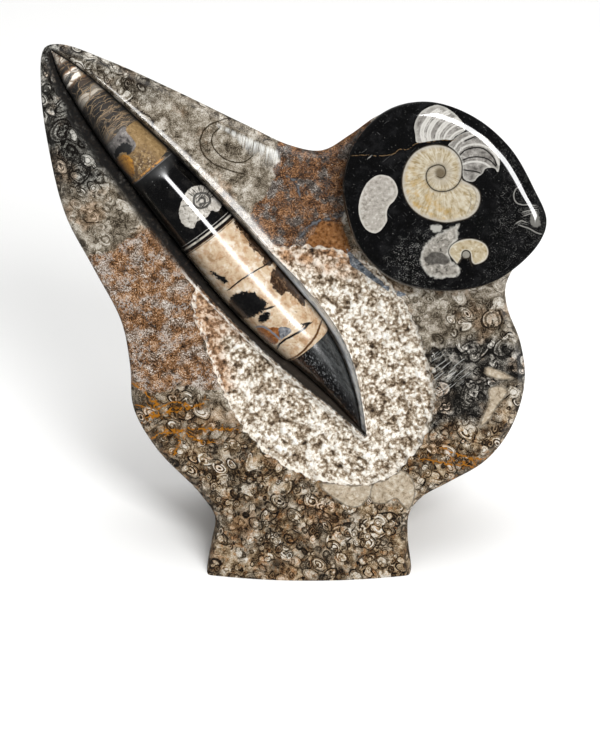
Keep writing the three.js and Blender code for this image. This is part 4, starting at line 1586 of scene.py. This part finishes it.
def makeStoneMaterial():
    material, shader = newMaterial("polishedFossilLimestone")
    place = faceVector()
    front = fieldValue("front")
    colour, drawn = plainStone(place, front)
    colour = paleShells(colour, place)
    colour, rusty = rustyStone(colour, place, drawn)
    colour = goldVeins(colour, place)
    colour = polishMarks(colour, place, front)
    colour, paintedShadeAndDarkJoint = channelWalls(colour, place)
    facet = maskOf(place, "facet", 0.25, 1.2, 0.12)
    pecked = ease(plus(fieldValue("pecked"), swing(place, 0.9, 1.1, 3.0, 0.6)), -0.1, 0.25)
    pecked = times(pecked, ease(facet, 0.0, 0.6, 1.0, 0.0))
    chips = addNode("TexVoronoi", {"Vector": warped(place, 0.9, 1.6), "Scale": 0.7}).outputs["Distance"]
    chips = calc("MULTIPLY_ADD", chips, -0.5, 0.2)
    colour = painted(colour, crustColour(place, chips), pecked)
    colour = paleRidgeAndHighlight(colour, place, front)
    # The facet is painted blue-grey, a painted reflection.
    colour = painted(colour, mottled(place, 0.7, *stoneLook["facet"]), facet)
    feed(shader["Base Color"], colour)

    rusty = times(rusty, grain(place, 0.8, 2.0))
    roughness = mixValues(rusty, stoneLook["polish"], stoneLook["rustRoughness"])
    edge = ease(fieldValue("fromEdge"), 3.4, 1.8)
    roughness = mixValues(edge, roughness, stoneLook["edgeRoughness"])
    roughness = mixValues(paintedShadeAndDarkJoint, roughness, stoneLook["shadeAndJointRoughness"])
    roughness = mixValues(pecked, roughness, stoneLook["crustRoughness"])
    feed(shader["Roughness"], roughness)
    feed(shader["IOR"], stoneLook["ior"])
    relief = plus(times(grain(place, 1.1, 5.0, 0.66), 1.1), times(chips, 0.9))
    relief = times(relief, mixValues(pecked, stoneLook["polishRelief"], stoneLook["crustRelief"]))
    bump = addNode("Bump", {"Height": relief, "Distance": placing["millimetre"], "Strength": 1.0})
    feed(shader["Normal"], bump.outputs["Normal"])
    return material


# The look of the banded orthoceras.
shellLook = {
    "black": toneSet((3, 3, 4), (8, 8, 9), (30, 29, 28)),
    "cream": toneSet((178, 142, 104), (222, 197, 165), (246, 234, 215)),
    "gold": toneSet((112, 84, 42), (148, 117, 68), (174, 146, 102)),
    "ochre": toneSet((112, 66, 6), (182, 122, 14), (214, 158, 48)),
    "grey": toneSet((48, 44, 42), (124, 118, 114), (184, 178, 172)),
    "pale": toneSet((132, 128, 120), (206, 200, 190), (240, 236, 228)),
    "brown": toneSet((22, 14, 8), (62, 42, 26), (124, 98, 74)),
    "rust": toneSet((112, 56, 14), (158, 92, 34), (196, 136, 78)),
    "blueGrey": toneSet((64, 66, 70), (128, 130, 136), (176, 176, 178)),
    # distance down the apex, and the tone of the band there
    "apexBands": toneStops(
        (0, 196, 186, 172), (3, 178, 166, 150), (5.6, 204, 194, 178), (6.6, 96, 72, 48), (7.2, 22, 15, 10),
        (8.8, 26, 18, 12), (9.4, 108, 80, 54), (10.0, 206, 198, 188), (12.8, 200, 192, 180),
        (13.4, 104, 76, 50), (14.2, 34, 24, 16), (17, 42, 32, 22), (18, 120, 112, 102),
        (20.8, 140, 132, 120), (21.6, 50, 38, 28), (23, 26, 20, 14), (27, 34, 26, 18), (28.4, 74, 62, 48),
        (30, 24, 18, 12), (33, 34, 27, 20), (34.5, 88, 80, 70), (36.6, 50, 44, 38), (40, 64, 58, 52),
    ),
    "apexReach": 40.0,
    "bandDip": 0.045,  # how much further down the bands lie away from the middle
    "chamberScale": 0.62,
    "chamberStretch": 0.36,
    "crackle": tone(164, 138, 104),
    # pitch of the thin cross-walls, seed, and where they begin and end
    "crossWalls": ((5.1, 4.0, 13.0, 37.0), (3.3, 29.0, 16.0, 37.0), (1.15, 51.0, 31.5, 37.2)),
    # the lines that are only drawn, with their width and ink
    "inks": (
        ("greyVein", 0.4, tone(134, 136, 142)), ("septum", 0.26, tone(18, 13, 10)),
        ("streaks", 0.4, tone(16, 14, 12)), ("endRim", 0.4, tone(92, 58, 26)),
    ),
    "eyeInk": tone(20, 20, 22),
    "blackFrom": 53.7,
    "blackTo": 84.4,
    "blackTilt": -0.035,
    # seams at the lower end of the black length: where, how wide, and their ink
    "lowerSeams": (
        (81.6, 0.16, tone(196, 192, 184)), (82.9, 0.5, tone(222, 214, 200)),
        (84.3, 0.42, tone(60, 36, 18)), (84.9, 0.2, tone(12, 9, 8)),
    ),
    "blackRoughness": 0.09,
    "creamRoughness": 0.26,
    "apexRoughness": 0.8,
    "pointRoughness": 0.24,
    "ior": 1.7,
}


# The colour with one of the mottled tone sets over the area of that name.
def patched(colour, place, name, zone, ragged=0.3, pitch=1.2, soft=0.08, scale=0.8):
    mask = maskOf(place, name, ragged, pitch, soft)
    return painted(colour, mottled(place, scale, *shellLook[zone]), mask)


# Growth bands that dip in the middle, crossed by wide chambers and thin pale walls.
def apexColour(place, station, offset):
    middled = minus(offset, 1.0)
    dip = times(middled, middled, shellLook["bandDip"])
    bandPlace = minus(plus(station, swing(place, 0.3, 2.2, 5.0, 0.6)), dip)
    reach = shellLook["apexReach"]
    bands = [(at / reach, ink) for at, ink in shellLook["apexBands"]]
    colour = ramp(calc("DIVIDE", bandPlace, reach), bands)

    chamberPlace = combined(bandPlace, times(offset, shellLook["chamberStretch"]))
    scale = shellLook["chamberScale"]
    chambers = addNode("TexVoronoi", {"Vector": chamberPlace, "Scale": scale}).outputs["Color"]
    chamber = channelsOf(chambers)[0]
    deep = ease(station, 5.0, 9.0)
    shade = mixValues(deep, ease(chamber, 0.1, 0.95, 0.7, 1.3), ease(chamber, 0.15, 0.95, 0.25, 2.6))
    shade = larger(plus(shade, swing(chamberPlace, 1.5, 3.0, 5.0, 0.75)), 0.03)
    colour = multiplied(colour, greyOf(shade))
    walls = cellWalls(chamberPlace, scale)
    colour = painted(colour, tone(30, 20, 12), ease(walls, 0.1, 0.05), 0.6)
    wallTone = painted(tone(112, 76, 44), shellLook["crackle"], deep)
    broken = ease(grain(place, 0.6, 2.0), 0.34, 0.5, 0.15, 0.85)
    colour = painted(colour, wallTone, ease(walls, 0.05, 0.015), broken)

    # Thin cross-walls, which lie close together before the gold.
    for pitch, seed, start, end in shellLook["crossWalls"]:
        seeded = shifted(place, seed)
        wave = calc("FRACT", calc("DIVIDE", plus(bandPlace, swing(seeded, 0.2, 1.6)), pitch))
        wave = ease(apart(wave, 0.5), 0.16 / pitch, 0.05 / pitch)
        within = times(ease(station, start, start + 1.0), ease(station, end, end - 1.0))
        share = ease(grain(seeded, 0.35, 2.0), 0.36, 0.52, 0.1, 0.9)
        colour = painted(colour, shellLook["crackle"], wave, within, share)
    sparks = ease(grain(place, 1.5, 2.0, 0.6), 0.66, 0.74)
    return painted(
        colour, tone(206, 194, 176), sparks, ease(station, 6.0, 9.0), ease(station, 37.0, 36.0), 0.6,
    )


# The gold block beside the grey one, spotted and flecked at its lower end.
def goldLength(colour, place, station, offset):
    colour = patched(colour, place, "greyPatch", "grey", 0.15, 1.0, 0.1, 0.45)
    colour = patched(colour, place, "goldBlock", "gold", 0.1, 1.2, 0.08, 1.0)
    lower = times(ease(station, 43.0, 48.5), ease(station, 54.2, 53.8), ease(offset, 7.0, 3.0))
    spots = ease(grain(place, 0.9, 4.0, 0.65), 0.46, 0.52)
    colour = painted(colour, tone(74, 46, 16), lower, spots, 0.75)
    flecks = ease(grain(shifted(place, 9.0), 1.3, 2.0), 0.6, 0.68)
    colour = painted(colour, tone(206, 184, 148), lower, flecks, 0.8)
    colour = patched(colour, place, "ochreCorner", "ochre", 0.6, 0.9, 0.1, 0.9)
    colour = patched(colour, place, "inkInGrey", "black", 0.9, 0.9, 0.15)
    seam = ease(apart(station, 53.0), 0.5, 0.15)
    broken = ease(grain(place, 0.7, 3.0), 0.36, 0.52)
    return painted(colour, tone(206, 146, 66), seam, ease(offset, 8.0, 6.0), broken)


# The black length and the cream one below it, and where the cream is.
def blackAndCream(colour, place, station, tilted):
    start, end = shellLook["blackFrom"], shellLook["blackTo"]
    inBlack = times(ease(station, start - 0.1, start + 0.1), ease(tilted, end + 0.1, end - 0.1))
    stars = ease(grain(place, 1.7, 0.0), 0.83, 0.87)
    black = painted(mottled(place, 0.3, *shellLook["black"]), tone(160, 160, 158), stars)
    colour = painted(colour, black, inBlack)
    inCream = ease(tilted, end - 0.1, end + 0.1)
    colour = painted(colour, mottled(place, 0.28, *shellLook["cream"]), inCream)
    peach = ease(grain(place, 0.45, 4.0, 0.6), 0.5, 0.64)
    colour = painted(colour, tone(194, 150, 108), inCream, peach, 0.7)
    freckles = times(ease(grain(place, 1.0, 2.0), 0.66, 0.72), ease(station, 112.0, 120.0))
    return painted(colour, tone(110, 74, 48), inCream, freckles, 0.7), inCream


# The pale shell in the black, the stains in the cream, and the seams between them.
def shellMarks(colour, place, station, tilted):
    colour = patched(colour, place, "paleShell", "pale", 0.3, 0.9, 0.1, 0.7)
    colour = painted(colour, shellLook["eyeInk"], lineOf(place, "eye", 0.4, 0.1), 0.85)
    colour = painted(colour, shellLook["eyeInk"], lineOf(place, "ticks", 0.16, 0.06), 0.85)
    colour = patched(colour, place, "brownEdge", "brown", 1.3, 1.5, 0.1, 0.6)
    colour = patched(colour, place, "brownRight", "brown", 1.0, 1.4, 0.1, 0.6)
    for name in ("spots", "blob", "blackBar"):
        colour = painted(colour, tone(74, 50, 32), maskOf(place, name, 0.9, 1.1, 0.5), 0.7)
        colour = patched(colour, place, name, "black", 1.3, 0.8, 0.1)
    colour = patched(colour, place, "rustPatch", "rust", 0.4, 1.0, 0.08)
    colour = patched(colour, place, "greyTriangle", "blueGrey", 0.3, 1.0, 0.08)
    for name, width, ink in shellLook["inks"]:
        colour = painted(colour, ink, lineOf(place, name, width, 0.14))
    seams = [(station, shellLook["blackFrom"], 0.2, tone(112, 110, 108))]
    seams += [(tilted, *seam) for seam in shellLook["lowerSeams"]]
    for down, at, width, ink in seams:
        share = ease(grain(place, 0.6, 3.0), 0.3, 0.5, 0.45, 0.95)
        colour = painted(colour, ink, ease(apart(down, at), width, width * 0.4), share)
    return colour


# The dark point: scratched in the middle, brown on the left and smooth grey on the right.
def pointColour(place, station, offset):
    streaks = grain(combined(times(station, 0.2), offset), 0.9, 4.0, 0.6)
    onRight = ease(plus(offset, swing(place, 0.3, 2.0)), 3.0, 6.5)
    greyed = ease(streaks, 0.36, 0.66, 0.3, 1.0)
    point = painted(tone(6, 6, 7), tone(70, 72, 72), onRight, greyed)
    scratched = ease(grain(stretched(place, 1.9, 1.6, 0.5), 1.3, 3.0, 0.7), 0.54, 0.66)
    middle = ease(apart(offset, 3.0), 4.0, 0.5, 0.25, 0.9)
    high = ease(station, 160.0, 146.0, 0.25, 1.0)
    point = painted(point, tone(146, 148, 150), scratched, middle, high)
    browned = times(ease(offset, 3.0, -2.0), ease(grain(place, 0.7, 4.0, 0.7), 0.44, 0.58))
    return painted(point, tone(92, 58, 27), browned, 0.75)


def makeShellMaterial():
    material, shader = newMaterial("polishedOrthocerasStone")
    place = faceVector()
    station, offset = fieldValue("station"), fieldValue("offset")
    tilted = calc("MULTIPLY_ADD", offset, shellLook["blackTilt"], station)
    colour = apexColour(place, station, offset)
    colour = goldLength(colour, place, station, offset)
    colour, inCream = blackAndCream(colour, place, station, tilted)
    colour = shellMarks(colour, place, station, tilted)
    inPoint = ease(station, shell["shoulder"] - 0.1, shell["shoulder"] + 0.2)
    colour = painted(colour, pointColour(place, station, offset), inPoint)
    # Painted shade: the flanks darken towards the channel.
    across = fieldValue("acrossShare")
    leftEdge = ease(across, 0.0, ease(station, 30.0, 60.0, 0.5, 0.3), 0.05, 1.0)
    paintedFlankShade = calc("MINIMUM", leftEdge, ease(across, 1.0, 0.93, 0.35, 1.0))
    feed(shader["Base Color"], multiplied(colour, greyOf(paintedFlankShade)))

    pastGold = ease(station, 53.0, 60.0)
    roughness = mixValues(pastGold, shellLook["apexRoughness"], shellLook["blackRoughness"])
    roughness = mixValues(inCream, roughness, shellLook["creamRoughness"])
    roughness = mixValues(inPoint, roughness, shellLook["pointRoughness"])
    feed(shader["Roughness"], plus(roughness, swing(place, 0.6, 0.06, 4.0)))
    feed(shader["IOR"], shellLook["ior"])
    return material


# The look of the black goniatite stone.
discLook = {
    "black": toneSet((2, 2, 2), (6, 6, 7), (26, 26, 27)),
    "cream": toneSet((156, 136, 98), (188, 174, 144), (218, 209, 188)),
    "grey": toneSet((142, 136, 126), (182, 176, 167), (214, 209, 200)),
    "fan": toneSet((96, 92, 88), (150, 146, 140), (194, 190, 184)),
    "blurred": toneSet((84, 80, 74), (156, 151, 142), (208, 203, 194)),
    "rib": tone(226, 223, 216),
    "outline": tone(50, 44, 36),
    "chalk": tone(214, 212, 204),
    "scratchTurns": (0.7, 2.3),
    "coilMiddle": (44.4, 150.3, 0),
    "roughness": 0.05,
    "ior": 1.62,
}


# The mask of a pale area, and the mottled stone in it.
def litArea(place, name, zone, ragged=0.25, pitch=1.0, soft=0.07, scale=0.55):
    return maskOf(place, name, ragged, pitch, soft), mottled(place, scale, *discLook[zone])


# The colour with a stored line over it, of the given width and share.
def inked(colour, place, name, width, share, ink, wander=0.03):
    return painted(colour, ink, lineOf(place, name, width, wander), share)


# Black stone with fine white scuffs, most of them low on the left, and fainter on the right.
def scuffedBlack(place):
    colour = mottled(place, 0.22, *discLook["black"])
    colour = painted(colour, tone(150, 148, 142), ease(grain(place, 2.0, 1.0), 0.72, 0.78), 0.6)
    onRight = ease(plus(separated(place)[0], swing(place, 0.1, 30.0, 2.0)), 58.0, 74.0, 0.0, 0.45)
    scuffed = larger(maskOf(place, "scuffs", 4.0, 4.0, 3.0), onRight)
    dust = ease(plus(grain(place, 3.0, 1.0, 0.5), swing(place, 0.5, 0.5, 3.0)), 0.58, 0.72)
    colour = painted(colour, tone(168, 167, 162), dust, scuffed, 0.55)
    for turn in discLook["scratchTurns"]:
        scratches = ease(grain(stretched(place, turn, 3.0, 0.3), 1.0, 0.0), 0.78, 0.84)
        colour = painted(colour, tone(150, 150, 148), scratches, 0.18)
    return colour


# The fan and the lobes are translucent, with pale ribs and dark gaps.
def fanAndLobes(colour, place):
    mask, fan = litArea(place, "fan", "fan", 0.15)
    fan = inked(fan, place, "fanRibs", 0.3, 0.9, discLook["rib"])
    between = ease(fieldValue("fanRibsReach"), 0.5, 1.5)
    fan = painted(fan, tone(98, 92, 86), between, ease(grain(place, 0.8, 3.0), 0.4, 0.6), 0.5)
    fan = painted(fan, discLook["chalk"], ease(fieldValue("fan"), 1.3, 0.1), 0.55)
    colour = painted(colour, fan, mask)
    mask, lobes = litArea(place, "lobes", "fan", 0.12)
    lobes = inked(lobes, place, "lobeRibs", 0.34, 0.9, discLook["rib"])
    lobes = painted(lobes, tone(54, 52, 50), ease(grain(place, 2.2, 1.0), 0.56, 0.64), 0.4)
    lobes = inked(lobes, place, "lobeLines", 0.24, 0.95, tone(24, 22, 20))
    lobes = painted(lobes, discLook["chalk"], ease(fieldValue("lobes"), 0.9, 0.1), 0.5)
    return painted(colour, lobes, mask, 0.94)


# The large coil: fibrous, golden low on the left, with a pale rim and a brown middle.
def largeCoil(colour, place):
    arm = separated(calcVector("SUBTRACT", place, discLook["coilMiddle"]))
    angle = calc("ARCTAN2", arm[1], arm[0])
    reach = calcVector("LENGTH", combined(arm[0], arm[1]))
    sine, cosine = calc("SINE", angle), calc("COSINE", angle)
    fibres = grain(combined(times(sine, 9.0), times(cosine, 9.0), times(reach, 0.22)), 1.3, 4.0, 0.65)
    mask, coil = litArea(place, "coilBody", "cream", 0.06)
    coil = painted(coil, tone(222, 214, 196), ease(fibres, 0.42, 0.64, 0.0, 0.75))
    coil = painted(coil, tone(150, 128, 86), ease(fibres, 0.46, 0.34, 0.0, 0.6))
    flat = separated(place)
    lowLeft = ease(plus(flat[0], flat[1]), 192.0, 178.0)
    golden = ease(grain(place, 0.5, 4.0, 0.65), 0.44, 0.6)
    coil = painted(coil, tone(196, 160, 88), lowLeft, golden, 0.6)
    coil = painted(coil, tone(190, 185, 176), ease(fieldValue("coilBody"), 1.8, 0.2), 0.8)
    inner = ease(minus(reach, swing(place, 0.6, 1.5)), 5.6, 3.2)
    coil = painted(coil, tone(176, 168, 154), inner, 0.45)
    coil = painted(coil, tone(120, 110, 94), ease(fieldValue("sutureReach"), 1.1, 0.1), 0.5)
    coil = inked(coil, place, "mouth", 0.22, 0.45, tone(128, 120, 108))
    coil = inked(coil, place, "suture", 0.2, 0.95, discLook["outline"])
    coil = painted(coil, tone(96, 82, 60), ease(reach, 2.6, 0.9), 0.85)
    colour = painted(colour, coil, mask)
    edge = ease(calc("ABSOLUTE", fieldValue("coilBody")), 0.34, 0.12)
    return painted(colour, discLook["outline"], edge, 0.85)


# The shells low down, the larger one blurred and part dark, and the kidney on the left.
def smallShells(colour, place):
    mask, kidney = litArea(place, "kidney", "grey", 0.08, 1.0, 0.07, 0.8)
    kidney = painted(kidney, tone(222, 218, 208), ease(fieldValue("kidney"), 0.9, 0.2, 0.0, 0.6))
    colour = painted(colour, kidney, mask)
    mask, blurred = litArea(place, "lowerShell", "blurred", 0.9, 1.2, 0.5, 0.6)
    blurred = painted(blurred, discLook["chalk"], ease(fieldValue("lowerShell"), 1.2, 0.2), 0.5)
    colour = painted(colour, blurred, mask)
    colour = painted(colour, discLook["chalk"], maskOf(place, "nub", 0.5, 1.0, 0.4), 0.7)
    colour = painted(colour, tone(60, 57, 54), maskOf(place, "lowerDark", 0.4, 1.2, 0.35), 0.8)
    mask, coil = litArea(place, "smallCoil", "cream", 0.08)
    coil = painted(coil, tone(216, 212, 202), ease(fieldValue("smallCoil"), 0.9, 0.15, 0.0, 0.75))
    colour = painted(colour, coil, mask)
    edge = ease(calc("ABSOLUTE", fieldValue("smallCoil")), 0.3, 0.1)
    colour = painted(colour, discLook["outline"], edge, 0.8)
    colour = painted(colour, tone(150, 146, 136), maskOf(place, "eyeDisc", 0.1, 0.8, 0.1))
    return inked(colour, place, "eye", 0.22, 0.95, discLook["outline"])


def makeDiscMaterial():
    material, shader = newMaterial("polishedGoniatiteStone")
    place = faceVector()
    colour = scuffedBlack(place)
    colour = fanAndLobes(colour, place)
    colour = largeCoil(colour, place)
    colour = smallShells(colour, place)
    colour = painted(colour, tone(150, 148, 142), maskOf(place, "fragment", 0.5, 0.8, 0.3), 0.6)
    colour = inked(colour, place, "paleLines", 0.2, 0.6, tone(176, 174, 168), 0.08)
    dotted = ease(grain(place, 1.1, 3.0), 0.44, 0.54)
    colour = painted(colour, tone(128, 104, 74), lineOf(place, "crack", 0.15, 0.22), dotted, 0.75)
    feed(shader["Base Color"], colour)
    smears = ease(grain(place, 0.25, 4.0), 0.45, 0.75, 0.0, 0.05)
    feed(shader["Roughness"], plus(discLook["roughness"], smears))
    feed(shader["IOR"], discLook["ior"])
    return material


# The pieces.
stonePiece = makeSlab()
markStone(stonePiece)
shellPiece = makeShell()
markShell(shellPiece)
discPiece = makeDisc()
markDisc(discPiece)
standFor(stonePiece, "limestone_matrix", makeStoneMaterial())
standFor(shellPiece, "orthoceras", makeShellMaterial())
standFor(discPiece, "goniatite_cabochon", makeDiscMaterial())
print("materials given")

# The floor and the lights.
studio = {
    "floorSize": 8,
    "floorTone": tone(248, 248, 247, 1),
    "floorRoughness": 0.8,
    "worldTone": (1, 1, 1, 1),
    "worldStrength": 0.07,
    "aim": (0, -0.02, 0.11),
    # a strip that lies along the shell, and a broad light from above and behind
    "stripTowards": (0.375, -0.682, 0.506),
    "stripDistance": 1.2,
    "strip": {"along": (0.517, -0.116, -0.54), "size": (0.95, 0.32), "radiance": 16.5},
    "overheadPlace": (0, 0.35, 1.5),
    "overheadAim": (0, 0.1, 0),
    "overhead": {"along": (1, 0, 0), "size": (2.4, 2.0), "radiance": 2.1},
}


def addFloor():
    bpy.ops.mesh.primitive_plane_add(size=studio["floorSize"])
    floor = bpy.context.object
    floor.name = "paleFloor"
    material, shader = newMaterial("paleFloorPaint")
    feed(shader["Base Color"], studio["floorTone"])
    feed(shader["Roughness"], studio["floorRoughness"])
    floor.data.materials.append(material)
    floor.visible_glossy = False


def addPanel(name, place, aim, panel):
    width, height = panel["size"]
    bpy.ops.object.light_add(type="AREA", location=place)
    lamp = bpy.context.object
    lamp.name = name
    lamp.data.shape = "RECTANGLE"
    lamp.data.size, lamp.data.size_y = width, height
    lamp.data.energy = panel["radiance"] * math.pi * width * height
    away = (Vector(place) - Vector(aim)).normalized()
    xAxis = Vector(panel["along"])
    xAxis = (xAxis - away * xAxis.dot(away)).normalized()
    yAxis = away.cross(xAxis)
    lamp.rotation_euler = Matrix((xAxis, yAxis, away)).transposed().to_euler()
    lamp.visible_camera = False
    return lamp


def addLights():
    aim = Vector(studio["aim"])
    place = aim + Vector(studio["stripTowards"]).normalized() * studio["stripDistance"]
    addPanel("stripSoftbox", place, aim, studio["strip"])
    place, aim = studio["overheadPlace"], studio["overheadAim"]
    overhead = addPanel("overheadSoftbox", place, aim, studio["overhead"])
    overhead.visible_glossy = False
    world = bpy.data.worlds.new("softRoom")
    world.use_nodes = True
    background = world.node_tree.nodes["Background"].inputs
    background["Strength"].default_value = studio["worldStrength"]
    background["Color"].default_value = studio["worldTone"]
    bpy.context.scene.world = world


addFloor()
addLights()
bpy.context.scene.view_settings.view_transform = "Standard"
print("floor and lights placed")
